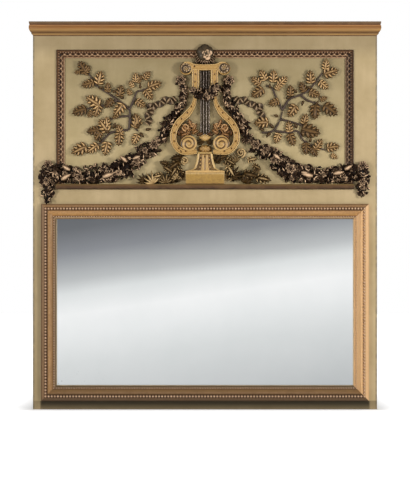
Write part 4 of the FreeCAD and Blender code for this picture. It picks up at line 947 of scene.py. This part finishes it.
# Paths as (x, rise, half-width), all for the left side.
SWAG = ((-206, 168, 27), (-232, 160, 30), (-263, 144, 34), (-307, 110, 42), (-351, 72, 46),
        (-395, 54, 46), (-461, 41, 41), (-548, 37, 37), (-600, 42, 40), (-656, 50, 42))
SCROLL_DROP = ((-106, 452, 17), (-92, 400, 19), (-104, 356, 22), (-132, 312, 23), (-168, 262, 24),
               (-184, 214, 24), (-196, 190, 26))
STRING_GARLAND = ((-56, 416, 15), (-30, 394, 20), (2, 384, 24), (30, 398, 23), (56, 430, 17))
CORNER_DROPS = {-1: ((34, 84, 26), (38, 52, 36), (40, 14, 36), (32, -20, 27), (34, -50, 24),
                     (32, -76, 17)),
                1: ((38, 80, 24), (34, 46, 30), (36, 10, 30), (38, -24, 24), (40, -52, 17))}
INNER_SPRIG = ((-54, 268, 9), (-60, 250, 12), (-70, 232, 14), (-62, 216, 13))


def make_garland(name, path, depth, seed, roses=(), leaves=(), size=11.0, packing=1.5):
    carving = Carving()
    garland(carving, path, depth, seed, size, packing)
    carving.gain = 1.15
    for x, rise, radius, out in roses:
        bloom(carving, pose(x, rise, depth - out), radius, 6, x, 0.6)
    for x, rise, length, angle, out in leaves:
        blade(carving, pose(x, rise, depth - out, angle - 90), length, 0.55 * length, 0.3, 2.0, 7,
              0.35)
    carving.make("carved_" + name, GARLAND, "garland_wood", name)


def flipped(path, side):
    """A left-hand path, taken to the given side."""
    return [(-side * x, rise, half) for x, rise, half in path]


def make_side(word, side):
    """The swag, the drops and the sprig of one side, each with its larger blooms."""
    seed = 10 if side < 0 else 40
    make_garland("swag_" + word, flipped(SWAG, side), PANEL_FACE, seed, SWAG_ROSES[side],
                 LARGE_LEAVES[side])
    make_garland("scroll_drop_" + word, flipped(SCROLL_DROP, side), PANEL_FACE, seed + 1,
                 roses=[(side * 106, 455, 24, 10)])
    corner = [(side * (HALF_OPENING + out), rise, half) for out, rise, half in CORNER_DROPS[side]]
    make_garland("corner_drop_" + word, corner, FRONT, seed + 2,
                 roses=[(corner[0][0], corner[0][1], 22, 14), (corner[2][0], corner[2][1], 18, 24)])
    sprig = Carving()
    garland(sprig, flipped(INNER_SPRIG, side), PANEL_FACE, seed + 3, 8.0, 0.7)
    for x, rise, length, angle in INNER_LEAVES:
        pointing = angle if side < 0 else 180 - angle
        lobed_leaf(sprig, pose(-side * x, rise, PANEL_FACE - 8, pointing - 90, 10), length, 0.7,
                   0.3)
    sprig.gain = 0.2
    for x, rise, angle in DARK_INNER_LEAVES:
        blade(sprig, pose(side * x, rise, PANEL_FACE - 12, side * (90 - angle)), 30, 16, 0.3)
    sprig.gain = 1.0
    for x, rise, radius, hand in INNER_CURLS:
        curl_of(sprig, side * x, rise, PANEL_FACE - 12, radius, 1.5, side * hand, 0.2 * radius)
    sprig.make("carved_inner_sprig_" + word, SPRIG, "garland_wood", "inner_sprig_" + word)


# Large roses on the swags as (x, rise, radius, depth off the panel).
SWAG_ROSES = {-1: ((-222, 172, 22, 26), (-263, 148, 14, 30), (-300, 104, 17, 36), (-421, 33, 20, 34),
                   (-548, 30, 20, 30)),
              1: ((222, 172, 22, 26), (263, 148, 14, 30), (300, 104, 17, 36), (374, 66, 24, 34))}
# Large rubbed leaves on the swags as (x, rise, length, angle of the tip, depth off the panel).
LARGE_LEAVES = {-1: ((-446, 30, 52, 18, 34), (-628, 18, 50, 30, 30), (-590, 60, 40, 150, 30),
                     (-340, 96, 40, 140, 34), (-285, 120, 36, 200, 34)),
                1: ((470, 34, 50, 170, 34), (560, 44, 48, 10, 30), (610, 62, 40, 30, 30),
                    (300, 130, 40, 320, 34), (420, 52, 44, 340, 34))}
# Leaves at the plinth's foot as (kind, x, rise, length, angle of the tip).
FOOT_LEAVES = {
    -1: (("lobed", -104, 118, 54, 190), ("lobed", -112, 98, 66, 216), ("lobed", -122, 76, 58, 238),
         ("fan", -226, 4, 58, 112), ("fan", -262, 10, 46, 148), ("fan", -172, 4, 52, 96),
         ("lobed", -140, 52, 56, 150), ("lobed", -186, 40, 54, 196), ("lobed", -94, 124, 40, 120),
         ("lobed", -160, 84, 44, 160), ("fan", -122, 30, 40, 150)),
    1: (("lobed", 50, 92, 48, 64), ("lobed", 56, 112, 48, 16), ("lobed", 92, 108, 54, 330),
        ("lobed", 100, 80, 60, 300), ("fan", 116, 34, 58, 40), ("lobed", 168, 46, 70, -12),
        ("lobed", 226, 30, 70, -14), ("lobed", 186, 104, 48, 10), ("fan", 176, 4, 46, 70),
        ("fan", 136, 96, 44, 120), ("lobed", 210, 84, 44, 330))}
INNER_LEAVES = ((-58, 250, 42, 112), (-68, 236, 42, 150), (-52, 232, 38, 66), (-74, 222, 36, 196),
                (-56, 222, 34, 30))
# Dark leaves of an inner sprig as (x, rise, angle of the tip), and its curls as (x, rise, radius,
# way round), on the right.
DARK_INNER_LEAVES = ((104, 196, 60), (112, 212, 110), (92, 222, 150), (36, 214, 20))
INNER_CURLS = ((84, 248, 20, 1), (52, 256, 14, -1))
FOOT_CURLS = {-1: (-89, 103, 23), 1: (157, 138, 26)}
FOOT_ROSE = (226, 61)
FOOT_CLUSTERS = {-1: ((-104, 70, 15), (-110, 42, 22), (-108, 16, 18)),
                 1: ((96, 92, 13), (112, 58, 20), (112, 18, 18))}
FOOT_ROWS = {-1: ((-118, 14, 14), (-160, 20, 16), (-210, 16, 13), (-262, 18, 12)),
             1: ((120, 14, 14), (150, 40, 17), (205, 34, 15), (250, 16, 12))}


def make_foot_spray(word, side):
    """Acanthus leaves, fans, a curl and clusters of buds beside the plinth."""
    carving = Carving()
    garland(carving, FOOT_CLUSTERS[side], PANEL_FACE, 80 + side, 8.5)
    garland(carving, FOOT_ROWS[side], PANEL_FACE, 90 + side, 8.0, 0.8)
    x, rise, radius = FOOT_CURLS[side]
    curl_of(carving, x, rise, PANEL_FACE, radius, 1.6, side, 5.0)
    if side > 0:
        bloom(carving, pose(*FOOT_ROSE, PANEL_FACE - 16), 17, 6)
    for index, (kind, x, rise, length, angle) in enumerate(FOOT_LEAVES[side]):
        carving.gain = GAINS[1 + index % 4]
        place = pose(x, rise, PANEL_FACE - 10, angle - 90, 14)
        if kind == "fan":
            fan(carving, place, length, 6, 62)
        else:
            lobed_leaf(carving, place, length, 0.8, 0.3)
    carving.make("carved_foot_spray_" + word, SPRAY, "garland_wood", "foot_spray_" + word)


def make_rosette(word, side):
    """A curled leaf in the yoke's scroll."""
    carving = Carving()

    def curled(t, angle):
        winding = (1.7 * (1 - t) - side * angle / (2 * math.pi)) % 1.0
        rib = 0.5 + 0.5 * math.cos(9 * angle)
        ridge = math.sin(math.pi * winding)
        tone = 0.05 + 0.45 * ridge ** 2 + 0.5 * ridge * rib
        return 23 * t * (0.93 + 0.07 * rib), 9 * (1 - 0.5 * t) * (0.5 + 0.5 * ridge), tone

    x, rise, _ = SCROLL
    carving.disc(16, 54, curled, pose(side * x, rise, LYRE_FACE))
    carving.make("carved_scroll_rosette_" + word, ROSETTE, "garland_wood",
                 "scroll_rosette_" + word)


CREST_RISE = PANEL_HEAD - LEDGE_TOP - 14
CREST_RADIUS = 38


def make_crest():
    """A half-open bud with dark outer petals over a collar of small leaves."""
    carving = Carving()

    def outer(t, angle):
        wave = abs(math.cos(2.5 * (angle - math.pi / 2)))
        w = 26 * math.sqrt(max(1 - (0.92 * t) ** 2, 0)) - 4 * (1 - wave) * t
        return CREST_RADIUS * t * (0.86 + 0.14 * wave ** 0.5), w, 0.1 + 0.35 * wave * (1 - t)

    carving.disc(8, 50, outer, pose(0, CREST_RISE, PANEL_FACE - 12))
    carving.gain = 1.5
    bloom(carving, pose(5, CREST_RISE - 6, PANEL_FACE - 26), 28, 4, 1.2, 0.6)
    carving.make("carved_crest_rose", CREST, "garland_wood", "crest_rose")
    collar = Carving()
    for index in range(11):
        spin = 110 + 14 * index
        blade(collar, pose(0, CREST_RISE - 6, PANEL_FACE - 6, spin, 8), 50, 16, 0.12, 4.0)
    for side in (-1, 1):
        fan(collar, pose(side * 24, CREST_RISE - 34, PANEL_FACE - 4, -side * 95), 26, 5, 50)
    collar.make("carved_crest_collar", GARLAND, "garland_wood", "crest_collar")


for word, side in SIDES:
    make_side(word, side)
    make_foot_spray(word, side)
    make_rosette(word, side)
make_garland("string_garland", STRING_GARLAND, LYRE_FACE, 71,
             [(4, 384, 13, 20), (-50, 410, 11, 12), (50, 424, 13, 14)], size=10, packing=2.2)
make_crest()


# ---------------------------------------------------------------- ribbons and branches

RIBBON_LINE = ((-128, 378), (-150, 362), (-172, 372), (-192, 352), (-207, 352), (-226, 338),
               (-244, 342), (-238, 316), (-254, 300), (-244, 280), (-256, 262))
RIBBON_WIDTH = 30.0
RIBBON_STEP = 1.5
PLEAT = 13.5


def make_ribbon(word, side):
    """A crimped ribbon: sharp pleats across a band that wanders over the panel."""
    carving = Carving()
    line = even_line(RIBBON_LINE, RIBBON_STEP)
    rows = []
    for index, (x, rise) in enumerate(line):
        heading = heading_at(line, index)
        crest = 1 - abs(2 * ((index * RIBBON_STEP / PLEAT) % 1.0) - 1)
        half = RIBBON_WIDTH / 2 * (0.82 + 0.18 * crest)
        row = []
        for j in range(-3, 4):
            share = j / 3
            bow = share * share
            row.append((-side * (x - math.sin(heading) * share * half),
                        rise + math.cos(heading) * share * half,
                        4 + 10 * crest * (1 - 0.25 * bow),
                        0.08 + 0.85 * crest ** 1.3 * (1 - 0.35 * bow)))
        rows.append(row)
    carving.sheet(rows, pose(0, 0, PANEL_FACE), 3.5)
    carving.make("carved_ribbon_" + word, RIBBON, "ribbon_wood", "ribbon_" + word)


STEMS = {
    -1: (((-334, 240), (-331, 284), (-334, 329), (-383, 369), (-421, 396), (-470, 428),
          (-491, 455), (-513, 492)),
         ((-333, 325), (-310, 377), (-299, 405), (-272, 413), (-225, 432)),
         ((-331, 290), (-312, 253), (-290, 228)),
         ((-333, 300), (-400, 290), (-450, 262), (-487, 246)),
         ((-336, 238), (-412, 226), (-462, 179), (-520, 150)),
         ((-383, 369), (-440, 346), (-493, 340), (-540, 318))),
    1: (((249, 227), (296, 232), (328, 278), (340, 324)),
        ((340, 324), (309, 389), (291, 426), (262, 430)),
        ((340, 324), (369, 371), (411, 389), (453, 412), (494, 459), (517, 491)),
        ((420, 391), (450, 368), (480, 357), (513, 343)),
        ((309, 234), (365, 227), (406, 232), (430, 195), (466, 172), (530, 149)),
        ((330, 286), (396, 268), (450, 250)))}
# Leaves as (x, rise, length, the way that the tip points in degrees).
LEAVES = {
    -1: ((-538, 514, 50, 120), (-557, 492, 30, 190), (-518, 501, 38, 60), (-462, 468, 50, 80),
         (-515, 439, 48, 200), (-426, 426, 36, 95), (-372, 410, 46, 75), (-493, 365, 58, 150),
         (-553, 320, 58, 205), (-475, 320, 48, 250), (-505, 307, 30, 240), (-423, 352, 40, 235),
         (-379, 325, 56, 235), (-395, 296, 30, 215), (-446, 258, 58, 130), (-493, 233, 46, 190),
         (-430, 273, 44, 95), (-470, 208, 40, 240), (-377, 242, 40, 110), (-377, 195, 50, 265),
         (-434, 155, 50, 265), (-493, 155, 52, 220), (-555, 150, 60, 205), (-307, 195, 42, 240),
         (-301, 273, 46, 75), (-324, 440, 30, 115), (-304, 469, 38, 90), (-288, 462, 32, 60),
         (-254, 478, 40, 55), (-333, 406, 30, 120), (-219, 435, 56, 15), (-246, 391, 46, 300),
         (-281, 352, 44, 330), (-300, 284, 50, 110)),
    1: ((531, 527, 40, 80), (554, 491, 56, 20), (522, 433, 46, 320), (462, 472, 50, 100),
        (427, 428, 42, 120), (483, 396, 44, 340), (374, 412, 46, 95), (522, 375, 28, 20),
        (552, 324, 60, 320), (483, 315, 56, 270), (381, 320, 56, 235), (300, 357, 46, 200),
        (229, 401, 56, 215), (222, 454, 44, 140), (254, 479, 44, 125), (300, 475, 48, 85),
        (342, 454, 44, 40), (323, 431, 34, 60), (245, 269, 58, 180), (466, 232, 76, 340),
        (439, 287, 42, 80), (369, 253, 40, 100), (316, 200, 44, 250), (381, 193, 50, 290),
        (499, 176, 46, 60), (563, 163, 52, 5), (443, 154, 48, 265), (480, 140, 40, 290),
        (568, 121, 30, 330))}
# Small dark leaves by the forks of both branches, as on the right-hand one.
DARK_LEAVES = ((356, 376, 26, 20), (372, 352, 24, 300), (404, 402, 24, 140), (432, 366, 26, 250),
               (466, 420, 24, 160), (300, 246, 30, 130), (286, 226, 30, 230), (404, 246, 28, 120),
               (420, 226, 26, 20), (460, 184, 26, 80), (284, 420, 24, 90), (322, 296, 24, 160),
               (486, 346, 26, 60), (260, 238, 28, 170))
LEAF_GROWTH = 1.2


def make_branch(word, side, seed):
    """Dark stems with gilt lobed leaves that curl off the panel."""
    draw = random.Random(seed)
    stems = Carving()
    for stem in STEMS[side]:
        line = even_line(stem, 8)
        places = [Vector((x, PANEL_FACE - 4.5, LEDGE_TOP + rise)) for x, rise in line]
        stems.tube(places, [5.4 - 2.4 * i / len(line) for i in range(len(line))])
    stems.make("carved_stems_" + word, STEM, "branch_wood")
    leaves = Carving()
    for x, rise, length, angle in LEAVES[side]:
        pointing = angle + draw.uniform(-6, 6)
        grown = LEAF_GROWTH * length * draw.uniform(0.95, 1.08)
        leaves.gain = draw.choice((0.6, 0.8, 1.0, 1.2))
        place = pose(x - 0.5 * grown * math.cos(math.radians(pointing)),
                     rise - 0.5 * grown * math.sin(math.radians(pointing)), PANEL_FACE - 4,
                     pointing - 90, draw.uniform(2, 9), draw.uniform(-8, 8))
        lobed_leaf(leaves, place, grown)
    leaves.gain = 0.3
    for x, rise, length, angle in DARK_LEAVES:
        blade(leaves, pose(side * x, rise, PANEL_FACE - 6, (angle - 90) * side, 10), length,
              0.5 * length, 0.3, 2.0, 5, 0.0)
    leaves.make("carved_branch_" + word, BRANCH, "branch_wood", "branch_" + word)


for word, side, seed in (("left", -1, 5), ("right", 1, 6)):
    make_ribbon(word, side)
    make_branch(word, side, seed)


# ---------------------------------------------------------------- stage

def seen_directly(tree, to_low, to_high):
    """A level: to_high for the camera and in reflections, to_low for the light on the object."""
    path = tree.nodes.new("ShaderNodeLightPath")
    seen = path.outputs["Is Camera Ray"]
    for ray in ("Is Glossy Ray", "Is Transmission Ray"):
        either = tree.nodes.new("ShaderNodeMath")
        either.operation = "MAXIMUM"
        tree.links.new(seen, either.inputs[0])
        tree.links.new(path.outputs[ray], either.inputs[1])
        seen = either.outputs[0]
    level = tree.nodes.new("ShaderNodeMapRange")
    level.inputs["To Min"].default_value = to_low
    level.inputs["To Max"].default_value = to_high
    tree.links.new(seen, level.inputs["Value"])
    return level.outputs[0]


WORLD_LIGHT = 0.27
# How much the floor glows far from the object and, less, beside its foot as a painted shadow.
FLOOR_GLOW = 0.8
SHADE_GLOW = 0.22


def make_world():
    world = bpy.data.worlds.new("studio")
    bpy.context.scene.world = world
    world.use_nodes = True
    tree = world.node_tree
    background = tree.nodes["Background"]
    background.inputs["Color"].default_value = (1, 1, 1, 1)
    tree.links.new(seen_directly(tree, WORLD_LIGHT, 1.0), background.inputs["Strength"])


def stage_plane(name, corners, look):
    mesh = bpy.data.meshes.new(name)
    mesh.from_pydata(corners, [], [(0, 1, 2, 3)])
    mesh.materials.append(look.material)
    plane = placed(name, mesh)
    return plane


# How far out from the carcass's sides the painted shadow on the floor fades away, in metres.
SHADE_REACH = 0.13


def make_floor():
    """A white floor that keeps the object's shadow, with a painted shadow round its foot."""
    look = Finish("studio_floor", 0.9)
    grey = look.level(look.noise(2, 2), 0.3, 0.7, 0.86, 0.88)
    tint = look.node("ShaderNodeCombineColor", {0: grey, 1: grey, 2: grey}).outputs[0]
    look.finish(tint)
    look.shader.inputs["Emission Color"].default_value = (1, 1, 1, 1)
    # Less glow beside, behind and just in front of the foot paints a shadow there.
    beside = look.level(look.math("ABSOLUTE", look.x), HALF_BODY * MM, HALF_BODY * MM + SHADE_REACH)
    away = look.math("ADD", beside, look.level(look.y, 0.0, 1.6), look.level(look.y, -0.04, -0.1))
    glow = look.level(away, 0.0, 1.0, SHADE_GLOW, FLOOR_GLOW)
    direct = seen_directly(look.tree, 0.0, 1.0)
    look.put(look.shader.inputs["Emission Strength"], look.math("MULTIPLY", direct, glow))
    half = 8.0
    floor = stage_plane("floor", [(-half, -half, 0), (half, -half, 0), (half, half, 0),
                                  (-half, half, 0)], look)
    floor.visible_glossy = False


def make_reflection_card():
    """The glass's painted reflection: a glowing grey sweep with a white diagonal band."""
    distance, half = 9.0, 3.6
    look = Finish("reflection_sweep", 1.0)
    across = look.math("MULTIPLY", look.x, 0.26 / 1.63)
    above = look.math("MULTIPLY", look.math("SUBTRACT", look.z, 0.156), 1 / 0.91)
    sweep = look.ramp(look.level(look.math("SUBTRACT", above, across), -1.3, 1.3), (
        (0.0, "C8CACB"), (0.27, "E3E5E5"), (0.4, "F5F6F6"), (0.5, "FEFEFE"), (0.6, "EAECEC"),
        (0.66, "C8CACB"), (0.79, "93959A"), (0.9, "74767A"), (1.0, "6A6C70")))
    glow = look.node("ShaderNodeEmission", {0: sweep})
    output = look.tree.nodes["Material Output"]
    look.tree.links.new(glow.outputs[0], output.inputs["Surface"])
    card = stage_plane("reflection_card", [(-half, -distance, -half), (half, -distance, -half),
                                       (half, -distance, half), (-half, -distance, half)], look)
    card.visible_camera = False
    card.visible_diffuse = False
    card.visible_shadow = False


def aim(thing, place, towards):
    """Put a lamp or camera at a place, facing in a direction."""
    thing.location = place
    thing.rotation_mode = "QUATERNION"
    thing.rotation_quaternion = Vector(towards).to_track_quat("-Z", "Y")


LAMP_TARGET = Vector((0, 0, 1.0))


def make_lamp(name, place, watts):
    data = bpy.data.lights.new(name, "AREA")
    data.shape = "DISK"
    data.size = 0.7
    data.energy = watts
    aim(placed(name, data), place, LAMP_TARGET - Vector(place))


# The photograph's frame is 410 by 487 pixels, and one pixel is 4.388 mm on the carcass's front.
PIXEL = 4.388 * MM
FRAME_PIXELS = (410, 487)
CAMERA_DISTANCE = 6.0
CAMERA_HEIGHT = (409.3 - FRAME_PIXELS[1] / 2) * PIXEL


def make_camera():
    data = bpy.data.cameras.new("camera")
    data.sensor_fit = "AUTO"
    data.sensor_width = 36.0
    reach = CAMERA_DISTANCE + FRONT * MM
    data.lens = data.sensor_width * reach / (FRAME_PIXELS[1] * PIXEL)
    data.clip_end = 100
    camera = placed("camera", data)
    aim(camera, (0, -CAMERA_DISTANCE, CAMERA_HEIGHT), (0, 1, 0))
    bpy.context.scene.camera = camera


make_world()
make_floor()
make_reflection_card()
make_lamp("key", (3.0, -2.5, 1.3), 86)
make_lamp("fill", (-3.0, -2.5, 1.3), 62)
make_camera()
bpy.context.scene.view_settings.view_transform = "Standard"
